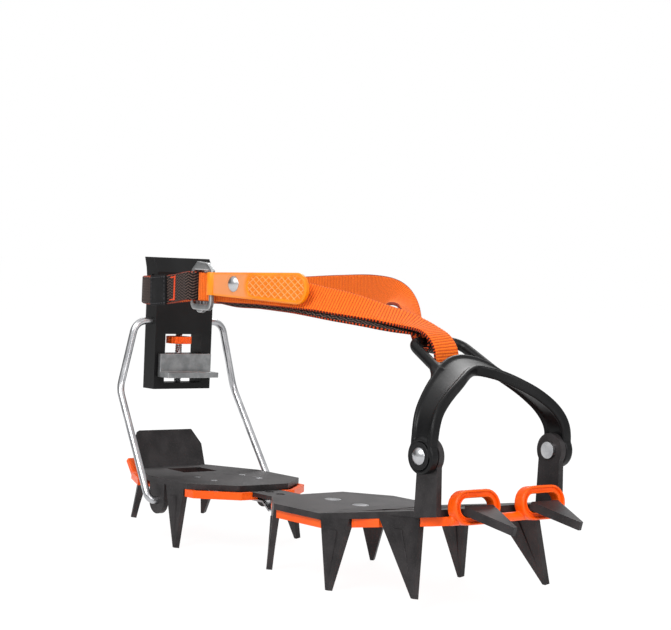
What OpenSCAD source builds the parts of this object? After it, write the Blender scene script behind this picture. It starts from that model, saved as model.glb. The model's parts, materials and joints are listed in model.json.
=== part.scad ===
// Twelve-point crampon with a toe basket and a heel lever, right foot, in millimetres.
// +X points to the toe, +Y to the wearer's left, +Z up; the ground is at z = 0.

/* [Plates] */
// Height of the plates' underside over the ground
plate_z = 31.5; // [29:0.5:36]
// Sheet thickness of plates, points, ears and posts
plate_t = 3; // [2.6:0.1:3.6]
// Half width of the front plate at the ball of the foot
forefoot_hw = 38.5; // [36:0.5:42]
// Half width of the front plate behind the toe
toe_hw = 37.5; // [35:0.5:40]
// Half width of the front edge
nose_hw = 30; // [27:0.5:33]
// Rear end of the front plate
front_tail_x = -17; // [-22:0.5:-12]
// Line where the front plate starts to rise
toe_bend_x = 42; // [36:1:46]
// Rise of the toe, in degrees
toe_rise = 8.6; // [6:0.2:10]
// Front edge of the toe plate
nose_x = 126; // [124:0.5:130]
// Half width of the heel plate
heel_hw = 37; // [35:0.5:40]
// Front edge of the heel plate
heel_front_x = -55; // [-58:0.5:-52]
// Half width of that front edge
heel_front_hw = 16; // [14:0.5:20]
// Rear edge of the heel plate
heel_rear_x = -146; // [-150:0.5:-144]
// Length of each of the four windows in the toe plate
toe_window_len = 22; // [16:0.5:24]
// Width of those windows
toe_window_w = 16; // [12:0.5:18]
// Straight edge of a plate beyond the root of a point
edge_run = 3; // [2:0.5:4]
// Steel left round a window
window_frame = 8; // [6:0.5:9]
// Length of the window in the heel plate
heel_window_len = 18; // [12:0.5:20]
// Width of that window
heel_window_w = 22; // [16:0.5:26]
// Height of the heel stop
stop_h = 22.5; // [20:0.5:25]
// Backward lean of the heel stop, in degrees
stop_lean = 24; // [16:1:28]

/* [Points] */
// Outward lean of the down points, in degrees
point_lean = 8.8; // [4:0.2:12]
// Width of a blunt tip
tip_w = 1.8; // [1.4:0.1:5]
// Height of the pressed rib on each face of a point
rib_h = 0.6; // [0.3:0.1:1]
// Width of that rib at its root
rib_w = 6; // [2:0.5:7]
// Width of that rib at its end
rib_tip_w = 1.2; // [0.8:0.1:2]
// Fourth pair, at the toe: middle of its root
toe_point_x = 99; // [97:0.5:101]
// Width of its root
toe_point_w = 27; // [20:0.5:28]
// Place of its tip
toe_tip_x = 116; // [108:0.5:122]
// Height of its tip over the ground
toe_tip_z = 6.3; // [0:0.1:10]
// Third pair, at the ball of the foot: middle of its root
ball_point_x = 54; // [52:0.5:58]
// Width of its root
ball_point_w = 21; // [14:0.5:22]
// Place of its tip
ball_tip_x = 56; // [50:0.5:62]
// Second pair, on the slanting rear edge of the front plate: middle of its root
waist_point_x = -2.4; // [-4:0.2:4]
// Sideways place of its root
waist_point_y = 33; // [27:0.5:35]
// Angle of that rear edge, in degrees
waist_angle = 34; // [28:1:40]
// Width of its root
waist_point_w = 18; // [12:0.5:20]
// Its outward lean, in degrees
waist_lean = 3.8; // [2:0.2:12]
// Heel pair at the side: middle of its root
heel_point_x = -84.8; // [-86:0.2:-83]
// Width of its root
heel_point_w = 17.5; // [14:0.5:18]
// Place of its tip
heel_tip_x = -76.5; // [-84:0.5:-74]
// Heel pair at the back: middle of its root
back_point_x = -138.7; // [-140:0.5:-136]
// Sideways place of its root
back_point_y = 24.1; // [23:0.1:26]
// Angle of the plate's edge there, in degrees
back_angle = 25; // [20:1:30]
// Width of its root
back_point_w = 12; // [10:0.5:14]
// Shift of its tip along that edge
back_tip_shift = -6; // [-8:0.5:-2]
// Height of its tip over the ground
back_tip_z = 5.8; // [2:0.2:8]

/* [Front points] */
// Sideways place of a front point
front_point_y = 20.5; // [19.5:0.1:21.5]
// Width where it passes through its loop
front_point_w = 17; // [15:0.5:19.5]
// Thickness of its drooping end
front_point_t = 4; // [3:0.2:5]
// Length of that end
front_point_len = 23.5; // [18:0.5:30]
// Droop of that end below the toe plate, in degrees
front_point_droop = 24; // [15:1:30]
// Place of the bend, ahead of the plate's front edge
front_point_bend = 8; // [7:0.5:11]

/* [Toe posts and basket] */
// Place of the basket's hinge along the foot
basket_x = 118.6; // [116:0.2:120]
// Height of that hinge
basket_z = 70.5; // [66:0.5:76]
// How far the posts' outer faces stand outside the edge of the forefoot
post_out = 1; // [0:0.5:2.5]
// Width of a post at its foot
post_w = 15; // [13:0.5:18]
// Thickness of the basket's arms
arm_t = 4; // [3:0.2:5]
// Width of the arms
arm_w = 13; // [10:0.5:15]
// Extra width of the arms beside the crown
arm_spread = 2.5; // [1:0.5:3]
// Width of the raised bead along each edge of an arm
bead_w = 2.4; // [1.8:0.1:3]
// Height of that bead over the arm's faces
bead_h = 0.4; // [0.2:0.1:0.6]
// Radius of the bosses at the hinge
boss_r = 8; // [7:0.1:9]
// Height of the crown's middle over the hinge
crown_up = 39; // [37:0.5:42]
// Distance of the crown behind the hinge
crown_back = 19; // [17:0.2:21]
// Backward rise of the strap ring, in degrees
ring_rise = 20.5; // [17:0.5:24]
// Length of the ring behind the crown
ring_len = 25.3; // [24:0.1:27]
// Half width of its opening
ring_hw = 12.5; // [12:0.1:14]
// Radius of its round bar
ring_bar_r = 2.5; // [2.2:0.1:2.7]
// Bend of that bar at the two rear corners
ring_bend = 7; // [5:0.5:8]
// Shank radius of the basket rivets
rivet_r = 2.5; // [2:0.1:3]
// Radius of their heads
rivet_head_r = 4; // [3.6:0.1:4.6]
// Height of the domed head
rivet_dome = 2.2; // [1.5:0.1:2.8]
// Thickness of the flat head inside the post
rivet_foot_t = 1.3; // [1:0.1:2]
// Radius of the basket washers
washer_r = 6.2; // [5.4:0.1:6.8]
// Thickness of the basket washers
washer_t = 0.8; // [0.5:0.1:1.2]

/* [Antiball plates] */
// Height of the rim
rim_h = 4; // [3.6:0.1:5]
// Width of the rim
rim_w = 2.5; // [2:0.1:3.5]
// Thickness of the floor
floor_t = 1.6; // [1.2:0.1:1.8]
// Room between the rim and the steel
rim_gap = 1.5; // [1.3:0.1:2]
// How far the rims lie inside the plates' side edges, behind the points
rim_inset = 0.2; // [0.1:0.1:1]
// Height of the loops round the front points
loop_h = 15; // [14:0.5:17]
// Wall of those loops
loop_wall = 3.2; // [3:0.1:3.5]
// Distance of those loops ahead of the plate's front edge
loop_start = 3; // [2.6:0.1:3.2]
// Depth of those loops along the point
loop_depth = 4.2; // [3.4:0.2:4.6]
// Room on each side of the point in its loop
loop_room = 1.8; // [1.5:0.1:3]
// Length of the rear lip
lip_len = 13; // [8:0.5:16]
// Lean of that lip from upright, in degrees
lip_lean = 45; // [38:1:55]

/* [Linking bar] */
// Thickness of the bar
bar_t = 2.2; // [1.8:0.1:2.3]
// Width of the bar
bar_w = 20; // [16:0.5:22]
// Its front end
bar_front_x = 38; // [36:0.5:40]
// Its rear end
bar_rear_x = -122; // [-123:0.5:-121]
// Radius of its holes
bar_hole_r = 2.6; // [2.4:0.1:3]
// Pitch of the holes
bar_hole_pitch = 10; // [8:0.5:11]
// Number of holes
bar_holes = 8; // [6:1:8]
// Holes ahead of the one that the peg sits in
holes_ahead = 2; // [1:1:3]
// Place of the peg
peg_x = -60; // [-61:0.5:-59]
// Radius of the peg
peg_r = 2.3; // [1.8:0.1:2.3]
// Place of the rear bar screw
screw_x = 4; // [2:0.5:8]
// Distance between the two bar screws
screw_pitch = 22; // [18:0.5:24]
// Shank radius of the bar screws
screw_r = 2.5; // [2:0.1:2.6]
// Radius of their heads
screw_head_r = 4.4; // [4:0.1:5]
// Thickness of their heads
screw_head_t = 1.5; // [1.2:0.1:1.8]
// Width of the nuts across their flats
nut_af = 8; // [7:0.1:9]
// Height of the nuts
nut_t = 3; // [2:0.1:4]

/* [Guide and latch] */
// Length of the guide that the bar slides in
guide_len = 26; // [22:0.5:28]
// Sheet thickness of the guide
guide_wall = 1.6; // [1.4:0.1:1.8]
// Width of its feet
guide_foot = 6; // [5.8:0.1:7]
// Middle of the guide
guide_x = -88; // [-90:0.5:-87]
// Shank radius of the guide rivets
guide_rivet_r = 2; // [1.5:0.1:2.2]
// Radius of their heads
guide_rivet_head_r = 2.8; // [2.5:0.1:2.9]
// Distance of the guide rivets from the guide's ends
guide_rivet_inset = 5; // [4:0.5:7]
// Thickness of rivet heads under the heel plate
flat_head_t = 1; // [0.8:0.1:1.2]
// Thickness of the latch leaf
leaf_t = 1; // [0.8:0.1:1.2]
// Width of the leaf
leaf_w = 12; // [9:0.5:13]
// Rear end of the leaf
leaf_rear_x = -87; // [-88:0.5:-86]
// Line about which the leaf bends
leaf_hinge_x = -77; // [-78:0.5:-76]
// Front end of the leaf's flat part
leaf_front_x = -48; // [-50:0.5:-46]
// Length of its thumb tab
leaf_tab_len = 7; // [5:0.5:8]
// Downward bend of that tab, in degrees
leaf_tab_drop = 35; // [20:1:45]
// Shank radius of the latch rivet
latch_rivet_r = 1.5; // [1.2:0.1:1.8]
// Radius of its head
latch_head_r = 2.8; // [2.4:0.1:3.2]

/* [Heel bail and lever] */
// Place of the bail's pivot along the foot
bail_x = -102; // [-103:0.2:-101]
// Height of that pivot
bail_z = 22; // [21:0.2:23]
// Radius of the wire
wire_r = 2; // [1.7:0.1:2.2]
// Radius of an ear round the pivot
ear_r = 7.2; // [6:0.1:7.4]
// Length of wire inside the ear
bail_tail = 3; // [2:0.2:4]
// Distance of the bail's legs outside the ears
leg_out = 5; // [4.8:0.1:6]
// Distance of the legs' knees outside the ears
knee_out = 1.5; // [0:0.5:3]
// Distance of the knees below the cross bar
knee_drop = 38; // [34:1:42]
// Length of the cross bar beside the lever
cross_side = 10; // [9:0.5:11]
// Place of the cross bar, which carries the lever
cross_x = -142; // [-143:0.5:-141]
// Height of the cross bar
cross_z = 117; // [114:0.5:120]
// Half width of the lever
lever_hw = 19; // [18:0.5:20]
// Reach of the lever above the cross bar
lever_up = 36; // [34:0.5:40]
// Reach of the lever below the cross bar
lever_down = 38; // [37:0.5:40]
// Depth of the lever in front of the cross bar
lever_front = 5; // [4.5:0.1:5.5]
// Depth of the lever behind it
lever_back = 6; // [5.5:0.1:7]
// Reach of the pull lip at the lever's top
pull_lip = 3; // [2:0.5:5]
// Middle of the strap channel over the cross bar
channel_up = 18; // [17:0.5:19]
// Top of the lever's window below the cross bar
window_drop = 7; // [6:0.5:8]
// Half width of that window
window_hw = 12.2; // [11:0.2:14]
// Bridge below that window
window_sill = 3.5; // [3:0.5:5]
// Radius of the adjuster screw
adjuster_r = 2; // [1.6:0.1:2.2]
// Radius of the thumbwheel
wheel_r = 7.2; // [6.5:0.1:8]
// Thickness of the thumbwheel
wheel_t = 4; // [3:0.1:4.5]
// Notches round the thumbwheel
wheel_notches = 18; // [12:1:20]
// Height of the claw's tongue
tongue_h = 7; // [5:0.5:7.5]
// Room for the claw to rise to the wheel
claw_rise = 5.5; // [5:0.1:6]
// Thickness of the claw's plates
claw_t = 3; // [2:0.1:3.5]
// Distance of the claw's lip below its tongue
claw_drop = 6; // [4:0.5:7]
// Forward reach of the lip
claw_reach = 8; // [5:0.5:10]

/* [Strap and buckle] */
// Width of the webbing
strap_w = 15; // [13:0.5:15]
// Thickness of the webbing
strap_t = 1.5; // [1.2:0.1:1.6]
// Wire radius of the buckle rings
buckle_r = 1.3; // [1.1:0.1:1.4]
// Distance between the inner ring's two bars
inner_len = 7.2; // [7.1:0.1:8]
// Turn of the inner ring away from the ankle, in degrees
inner_turn = 8; // [5:0.5:9]
// Distance between the outer ring's two bars
outer_len = 19.5; // [18.5:0.5:21]
// Turn of the outer ring away from the ankle, in degrees
outer_turn = 6.5; // [6:0.5:9]
// Place of the buckle's rear bars along the foot
buckle_x = -61.5; // [-62:0.5:-61]
// Sideways place of the inner ring
buckle_y = -42.2; // [-42.6:0.1:-42]
// Height of the buckle's middle
buckle_z = 139; // [138:0.5:140]
// Thickness of the pull tab
tab_t = 1.8; // [1.4:0.1:2]
// Wall of the tab's eye round the ring
tab_wrap = 1.2; // [1:0.1:1.4]
// Height of the tab's middle over the buckle's middle
tab_up = 1.8; // [0:0.1:2]
// Length of the tab from the ring to its end
tab_len = 72; // [66:0.5:74]
// Turn of the tab towards the ankle, in degrees
tab_turn = 5.1; // [4.5:0.1:5.3]
// Width of the tab at the ring
tab_root_w = 11.6; // [10:0.1:12]
// Width of the tab at its grip
tab_end_w = 15.4; // [14:0.1:17]
// Place of the tab rivet from the ring
tab_rivet_x = 17.9; // [14:0.1:20]
// Height of the tab rivet over the tab's middle
tab_rivet_up = 0.5; // [0:0.1:1]
// Shank radius of the tab rivet
tab_rivet_r = 1.5; // [1.2:0.1:1.8]
// Radius of its head
tab_head_r = 4; // [3.4:0.1:4.4]
// Height of its domed head
tab_dome = 2.1; // [1.6:0.1:2.3]
// Height of the label
label_h = 16; // [14:0.5:17]
// Thickness of the label
label_t = 1; // [0.6:0.1:1.2]

/* [Clearances] */
// Running clearance of pins and screws, on the radius
pin_gap = 0.08; // [0.03:0.01:0.1]
// Gap between flat faces that lie on each other
face_gap = 0.1; // [0.05:0.01:0.15]
// Gap between flat faces that slide
slide_gap = 0.3; // [0.2:0.05:0.4]
// Room round a point or a nut where it passes through the antiball
slot_gap = 0.7; // [0.5:0.1:0.9]
// Room between the webbing and what it runs round
strap_gap = 0.45; // [0.4:0.05:0.5]
// Room beside each edge of the webbing in rings and channel
edge_gap = 0.8; // [0.6:0.1:1]
// Room on each face of the webbing in the lever's channel
channel_gap = 0.55; // [0.5:0.05:0.7]

/* [Hidden] */
$fn = 48;
steel = "#3b393a";
orange = "#f26a14";
amber = "#f7941d";
black = "#1d1d1f";
bright = "#c9cacc";
// Longer than any piece, for cuts that go right through
far = 400;
// Overlap of solids that are joined, and overshoot of cuts
lap = 1;
top_z = plate_z + plate_t;
bar_z = plate_z - face_gap - bar_t;
rim_z = plate_z - face_gap - rim_h;
post_y = max(forefoot_hw + post_out, toe_hw + 2 * post_out);
waist_x = waist_point_x + (forefoot_hw - waist_point_y) / tan(waist_angle);
tail_hw = waist_point_y - (waist_point_x - front_tail_x) * tan(waist_angle);
back_corner_x = back_point_x + (heel_hw - back_point_y) / tan(back_angle);
back_hw = back_point_y - (back_point_x - heel_rear_x) * tan(back_angle);
upright_w = [0, 0, 1];
level_w = [0, 1, 0];

function unit(v) = v / norm(v);
function rise_at(x) = max(0, x - toe_bend_x) * tan(toe_rise);
function mirrored_outline(half) =
    concat(half, [for (i = [len(half) - 1 : -1 : 0]) [half[i][0], -half[i][1]]]);
function dome_radius(r, h) = (r ^ 2 + h ^ 2) / (2 * h);

// A path's station is [place, direction of the width, width]; the curve passes through each one.
function span(p, i) = max(0.001, norm(p[i + 1][0] - p[i][0]));
function chord(p, i) = (p[i + 1][0] - p[i][0]) / span(p, i);
function heading(p, i) =
    i == 0 ? chord(p, 0) :
    i == len(p) - 1 ? chord(p, i - 1) :
    (chord(p, i) * span(p, i - 1) + chord(p, i - 1) * span(p, i)) / (span(p, i) + span(p, i - 1));
function between(p, i, t) =
    (2 * t ^ 3 - 3 * t ^ 2 + 1) * p[i][0] + (t ^ 3 - 2 * t ^ 2 + t) * span(p, i) * heading(p, i)
    + (3 * t ^ 2 - 2 * t ^ 3) * p[i + 1][0] + (t ^ 3 - t ^ 2) * span(p, i) * heading(p, i + 1);
function smooth_path(p, n) = concat(
    [for (i = [0 : len(p) - 2]) for (k = [0 : n - 1])
        [between(p, i, k / n), p[i][1] + (p[i + 1][1] - p[i][1]) * k / n,
         p[i][2] + (p[i + 1][2] - p[i][2]) * k / n]],
    [p[len(p) - 1]]);
function ribbon_ring(p, i, t) =
    let (along = heading(p, i), normal = unit(cross(along, p[i][1])) * t / 2,
         across = unit(cross(normal, along)) * p[i][2] / 2)
    [p[i][0] + across + normal, p[i][0] + across - normal,
     p[i][0] - across - normal, p[i][0] - across + normal];

// Flat band of thickness t swept along a path
module ribbon(path, t, n = 3) {
    p = smooth_path(path, n);
    last = len(p) - 1;
    points = [for (i = [0 : last]) each ribbon_ring(p, i, t)];
    sides = [for (i = [0 : last - 1]) for (k = [0 : 3]) let (a = 4 * i + k, b = 4 * i + (k + 1) % 4)
        each [[a, b, b + 4], [a, b + 4, a + 4]]];
    end = 4 * last;
    caps = [[3, 2, 1], [3, 1, 0], [end, end + 1, end + 2], [end, end + 2, end + 3]];
    polyhedron(points, concat(sides, caps));
}

// Route through points, with each inner corner bent to a radius
function bend_arc(p, i, bend, n) =
    let (a = unit(p[i - 1] - p[i]), b = unit(p[i + 1] - p[i]), half = acos(a * b) / 2,
         centre = p[i] + unit(a + b) * bend / sin(half), x = unit(p[i] + a * bend / tan(half) - centre),
         y = cross(unit(cross(x, -a)), x))
    [for (k = [0 : n]) let (t = (180 - 2 * half) * k / n) centre + bend * (x * cos(t) + y * sin(t))];
function bent_route(p, bends, n) = concat(
    [p[0]], [for (i = [1 : len(p) - 2]) each bend_arc(p, i, bends[i], n)], [p[len(p) - 1]]);
function wire_ring(p, i, r, lead, sides) =
    let (along = unit(p[min(i + 1, len(p) - 1)] - p[max(i - 1, 0)]), side = unit(cross(lead, along)),
         up = cross(along, side))
    [for (k = [0 : sides - 1]) let (a = -360 * k / sides) p[i] + r * (side * cos(a) + up * sin(a))];

// Round wire along a route, whose lead is a direction that it never takes
module wire(route, r, lead, sides = 16) {
    last = len(route) - 1;
    points = [for (i = [0 : last]) each wire_ring(route, i, r, lead, sides)];
    walls = [for (i = [0 : last - 1]) for (k = [0 : sides - 1])
        let (a = sides * i + k, b = sides * i + (k + 1) % sides)
        each [[a, b, b + sides], [a, b + sides, a + sides]]];
    end = sides * last;
    caps = [for (k = [1 : sides - 2]) each [[0, k + 1, k], [end, end + k, end + k + 1]]];
    polyhedron(points, concat(walls, caps));
}
// A bent wire lies just inside the exact cylinders of its straight bars
wire_share = 0.99;
bend_steps = 8;

module both_sides() {
    children();
    mirror([0, 1, 0]) children();
}

// Tilts what is drawn on the flat about the bend line, into the rising toe
module on_toe() {
    translate([toe_bend_x, 0, plate_z]) rotate([0, -toe_rise, 0])
        translate([-toe_bend_x, 0, -plate_z]) children();
}

// Half of the plan ahead of the bend line, or behind it with a little overlap
module half_plane(ahead) {
    translate([ahead ? toe_bend_x : toe_bend_x + lap - far, -far / 2]) square([far, far]);
}

// Upright sheet in an XZ plane whose outer face is at y
module upright(y, t) {
    translate([0, y, 0]) rotate([90, 0, 0]) linear_extrude(t) children();
}

// Cylinder along Y from y0 to y1
module pin_y(x, z, r, y0, y1) {
    translate([x, y1, z]) rotate([90, 0, 0]) cylinder(r = r, h = y1 - y0);
}

// Places a point's plane at its root on the plate's edge, leaning outwards
module at_root(x, y, yaw, lean) {
    translate([x, y, plate_z + rise_at(x)]) rotate([0, 0, yaw]) rotate([lean, 0, 0]) children();
}

// Blunt triangular point with a pressed rib down the middle of each face
module down_point(x, y, w, tip_shift, tip_z = 0, yaw = 0, lean = point_lean) {
    slope = x > toe_bend_x ? tan(toe_rise) : 0;
    drop = (plate_z + rise_at(x) - tip_z - plate_t * sin(lean)) / cos(lean);
    rib_share = 0.9;
    rib_end_x = tip_shift * rib_share;
    at_root(x, y, yaw, lean) {
        rotate([90, 0, 0]) linear_extrude(plate_t) polygon([
            [-w / 2, plate_t - slope * w / 2], [w / 2, plate_t + slope * w / 2], [w / 2, slope * w / 2],
            [tip_shift + tip_w / 2, -drop], [tip_shift - tip_w / 2, -drop], [-w / 2, -slope * w / 2]]);
        point_rib(rib_end_x, -drop * rib_share);
    }
}

// Rib that runs out towards a point's tip
module point_rib(end_x, end_z) {
    start_z = -rim_h - lap;
    end_in = 0.1;
    polyhedron([
        [-rib_w / 2, rib_h, start_z], [rib_w / 2, rib_h, start_z],
        [rib_w / 2, -plate_t - rib_h, start_z], [-rib_w / 2, -plate_t - rib_h, start_z],
        [end_x - rib_tip_w / 2, -end_in, end_z], [end_x + rib_tip_w / 2, -end_in, end_z],
        [end_x + rib_tip_w / 2, end_in - plate_t, end_z], [end_x - rib_tip_w / 2, end_in - plate_t, end_z]],
        [[0, 1, 2, 3], [7, 6, 5, 4], [4, 5, 1, 0], [5, 6, 2, 1], [6, 7, 3, 2], [7, 4, 0, 3]]);
}

// Slot in an antiball plate that lets a down point through
module point_slot(x, y, w, yaw = 0, lean = point_lean) {
    slope = x > toe_bend_x ? tan(toe_rise) * w / 2 : 0;
    depth = 3 * rim_h + slope;
    at_root(x, y, yaw, lean)
        translate([-w / 2 - slot_gap, -plate_t - slot_gap, -depth])
            cube([w + 2 * slot_gap, plate_t + 2 * slot_gap, depth + rim_h + slope]);
}

module front_outline() {
    ball_end = ball_point_x + ball_point_w / 2 + edge_run;
    toe_rear = toe_point_x - toe_point_w / 2 - edge_run;
    toe_front = toe_point_x + toe_point_w / 2;
    polygon(mirrored_outline([[front_tail_x, tail_hw], [waist_x, forefoot_hw], [ball_end, forefoot_hw],
        [toe_rear, toe_hw], [toe_front, toe_hw], [nose_x, nose_hw]]));
}

module front_down_points() {
    both_sides() {
        down_point(toe_point_x, toe_hw, toe_point_w, toe_tip_x - toe_point_x, toe_tip_z);
        down_point(ball_point_x, forefoot_hw, ball_point_w, ball_tip_x - ball_point_x);
        down_point(waist_point_x, waist_point_y, waist_point_w, 0, 0, waist_angle, waist_lean);
    }
}

module front_point_slots() {
    both_sides() {
        point_slot(toe_point_x, toe_hw, toe_point_w);
        point_slot(ball_point_x, forefoot_hw, ball_point_w);
        point_slot(waist_point_x, waist_point_y, waist_point_w, waist_angle, waist_lean);
    }
}

module front_point() {
    root = 16;
    translate([nose_x - root, front_point_y - front_point_w / 2, plate_z])
        cube([root + front_point_bend, front_point_w, plate_t]);
    translate([nose_x + front_point_bend, front_point_y, plate_z]) rotate([0, front_point_droop, 0])
        linear_extrude(front_point_t) polygon([[-lap, -front_point_w / 2], [-lap, front_point_w / 2],
            [front_point_len, tip_w / 2], [front_point_len, -tip_w / 2]]);
}

// Upright post with a round top, on a sill that carries it out to the side
module toe_post() {
    taper = 1;
    sill_lap = 4;
    sill_x = toe_point_x + toe_point_w / 2;
    front = basket_x + post_w / 2;
    rear = basket_x - post_w / 2;
    difference() {
        upright(post_y, plate_t) {
            translate([basket_x, basket_z]) circle(r = boss_r);
            polygon([[rear + taper, basket_z], [front - taper, basket_z],
                [front, plate_z + rise_at(front)], [rear, plate_z + rise_at(rear)]]);
        }
        pin_y(basket_x, basket_z, rivet_r + pin_gap, post_y - plate_t - lap, post_y + lap);
    }
    on_toe() translate([sill_x, nose_hw - sill_lap, plate_z])
        cube([nose_x - sill_x, post_y - nose_hw + sill_lap, plate_t]);
}

module toe_windows() {
    for (row = [0, 1]) for (s = [-1, 1])
        translate([toe_bend_x + window_frame + row * (toe_window_len + window_frame),
            s * (toe_window_w + window_frame) / 2 - toe_window_w / 2]) square([toe_window_len, toe_window_w]);
}

module screw_places() {
    for (i = [0, 1]) translate([screw_x + i * screw_pitch, 0, 0]) children();
}

module front_frame() {
    color(steel) difference() {
        union() {
            translate([0, 0, plate_z]) linear_extrude(plate_t) intersection() {
                front_outline();
                half_plane(false);
            }
            on_toe() translate([0, 0, plate_z]) linear_extrude(plate_t) difference() {
                intersection() {
                    front_outline();
                    half_plane(true);
                }
                toe_windows();
            }
            front_down_points();
            both_sides() {
                on_toe() front_point();
                toe_post();
            }
        }
        screw_places() {
            translate([0, 0, plate_z - lap]) cylinder(r = screw_r + pin_gap, h = plate_t + 2 * lap);
            translate([0, 0, top_z - screw_head_t - face_gap])
                cylinder(r = screw_head_r + face_gap, h = screw_head_t + lap);
        }
    }
}

// Stadium ring round a front point
module front_loop() {
    r = loop_h / 2;
    run = front_point_w / 2 + loop_room + loop_wall - r;
    translate([nose_x + loop_start, front_point_y, rim_z]) rotate([90, 0, 90])
        linear_extrude(loop_depth) difference() {
            union() {
                for (s = [-1, 1]) translate([s * run, r]) circle(r = r);
                translate([-run, 0]) square([2 * run, loop_h]);
            }
            for (s = [-1, 1]) translate([s * run, r]) circle(r = r - loop_wall);
            translate([-run, loop_wall]) square([2 * run, loop_h - 2 * loop_wall]);
        }
}

// Strip of the plan that reaches hw to either side
module side_limit(hw) {
    translate([-far, -hw]) square([2 * far, 2 * hw]);
}

// Part of the plan that lies inset from the sides and from the slanting rear edges
module front_limit(inset) {
    root_y = waist_point_y - inset / cos(waist_angle);
    end_y = root_y + (far - waist_point_x) * tan(waist_angle);
    intersection() {
        side_limit(toe_hw - inset);
        polygon([[waist_point_x - root_y / tan(waist_angle), 0], [far, end_y], [far, -end_y]]);
    }
}

// Tray with a rim: the floor reaches out to the rim's outside
module front_tray(ahead) {
    translate([0, 0, rim_z]) linear_extrude(floor_t) intersection() {
        offset(delta = rim_gap + rim_w) front_outline();
        front_limit(rim_inset);
        half_plane(ahead);
    }
    translate([0, 0, rim_z]) linear_extrude(rim_h) intersection() {
        difference() {
            intersection() {
                offset(delta = rim_gap + rim_w) front_outline();
                front_limit(rim_inset);
            }
            intersection() {
                offset(delta = rim_gap) front_outline();
                front_limit(rim_inset + rim_w);
            }
        }
        half_plane(ahead);
    }
}

module front_antiball() {
    bar_room = bar_w / 2 + slide_gap;
    color(orange) difference() {
        union() {
            front_tray(false);
            on_toe() {
                front_tray(true);
                both_sides() front_loop();
            }
        }
        front_point_slots();
        // Room under the flat part of the plate, which runs a little past the bend
        translate([toe_bend_x, -far / 2, plate_z - face_gap]) cube([2 * lap, far, lap]);
        translate([front_tail_x - far / 2, -bar_room, bar_z - slide_gap]) cube([far / 2, 2 * bar_room, far]);
        screw_places() translate([0, 0, rim_z - lap])
            cylinder(r = nut_af / 2 / cos(30) + slot_gap, h = rim_h);
        on_toe() both_sides()
            translate([nose_x - lap, front_point_y - front_point_w / 2 - slide_gap, plate_z - face_gap])
                cube([loop_start + loop_depth + 2 * lap, front_point_w + 2 * slide_gap, plate_t + face_gap]);
    }
}

module linking_bar() {
    rear_hole_x = peg_x + (holes_ahead + 1 - bar_holes) * bar_hole_pitch;
    color(steel) difference() {
        translate([bar_rear_x, -bar_w / 2, bar_z]) cube([bar_front_x - bar_rear_x, bar_w, bar_t]);
        for (i = [0 : bar_holes - 1]) translate([rear_hole_x + i * bar_hole_pitch, 0, bar_z - lap])
            cylinder(r = bar_hole_r, h = bar_t + 2 * lap);
        screw_places() translate([0, 0, bar_z - lap]) cylinder(r = screw_r + pin_gap, h = bar_t + 2 * lap);
    }
}

module bar_screws() {
    color(bright) screw_places() {
        translate([0, 0, top_z - screw_head_t]) cylinder(r = screw_head_r, h = screw_head_t);
        translate([0, 0, bar_z - nut_t]) cylinder(r = screw_r, h = top_z - bar_z + nut_t - screw_head_t);
    }
}

module bar_nuts() {
    color(bright) screw_places() translate([0, 0, bar_z - face_gap - nut_t]) difference() {
        cylinder(d = nut_af / cos(30), h = nut_t, $fn = 6);
        translate([0, 0, -lap]) cylinder(r = screw_r + pin_gap, h = nut_t + 2 * lap);
    }
}

arm_y = post_y + 2 * face_gap + arm_t / 2;
crown = [basket_x - crown_back, 0, basket_z + crown_up];
ring_back = [-cos(ring_rise), 0, sin(ring_rise)];
ring_up = [sin(ring_rise), 0, cos(ring_rise)];
ring_bar = crown + ring_len * ring_back;
bead_start = boss_r - 0.5;

// One arm from just over its boss to beside the crown
arm_half = [
    [[basket_x + 0.2, arm_y, basket_z + bead_start], [-1, 0, 0], arm_w],
    [[basket_x + 0.2, arm_y - 0.3, basket_z + 10.5], [-1, 0, 0], arm_w],
    [[basket_x - 2, arm_y - 3.4, basket_z + 17.5], [-1, 0, 0.05], arm_w],
    [[basket_x - 5.5, arm_y - 11, basket_z + 25], [-1, 0, 0.12], arm_w + arm_spread / 2],
    [[basket_x - 10.5, arm_y - 22, basket_z + 32], [-1, 0, 0.22], arm_w + arm_spread],
    [crown + [2.5, 8, -1.4], ring_back, arm_w + arm_spread / 2]];
arm_foot = [[basket_x, arm_y, basket_z], [-1, 0, 0], arm_w];
function mirrored_path(p) = [for (i = [len(p) - 1 : -1 : 0])
    [[p[i][0][0], -p[i][0][1], p[i][0][2]], p[i][1], p[i][2]]];
function arch(half) = concat(half, [[crown, ring_back, arm_w]], mirrored_path(half));
function edge_path(p, side, proud) =
    [for (s = p) [s[0] + unit(s[1]) * side * ((s[2] - bead_w) / 2 + proud), s[1], bead_w]];

// Bent round bar behind the crown, which the strap runs round
module strap_ring() {
    side = [0, ring_hw + ring_bar_r, 0];
    straight = side[1] - ring_bend;
    wire(bent_route([crown + side, ring_bar + side, ring_bar - side, crown - side],
        [0, ring_bend, ring_bend, 0], bend_steps), wire_share * ring_bar_r, ring_up);
    pin_y(ring_bar[0], ring_bar[2], ring_bar_r, -straight, straight);
}

module toe_basket() {
    bead_proud = 0.3;
    color(black) difference() {
        union() {
            ribbon(arch(concat([arm_foot], arm_half)), arm_t);
            for (s = [-1, 1]) ribbon(edge_path(arch(arm_half), s, bead_proud), arm_t + 2 * bead_h);
            both_sides() pin_y(basket_x, basket_z, boss_r, arm_y - arm_t / 2, arm_y + arm_t / 2);
            strap_ring();
        }
        pin_y(basket_x, basket_z, rivet_r + pin_gap, -far / 2, far / 2);
    }
}

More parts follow.
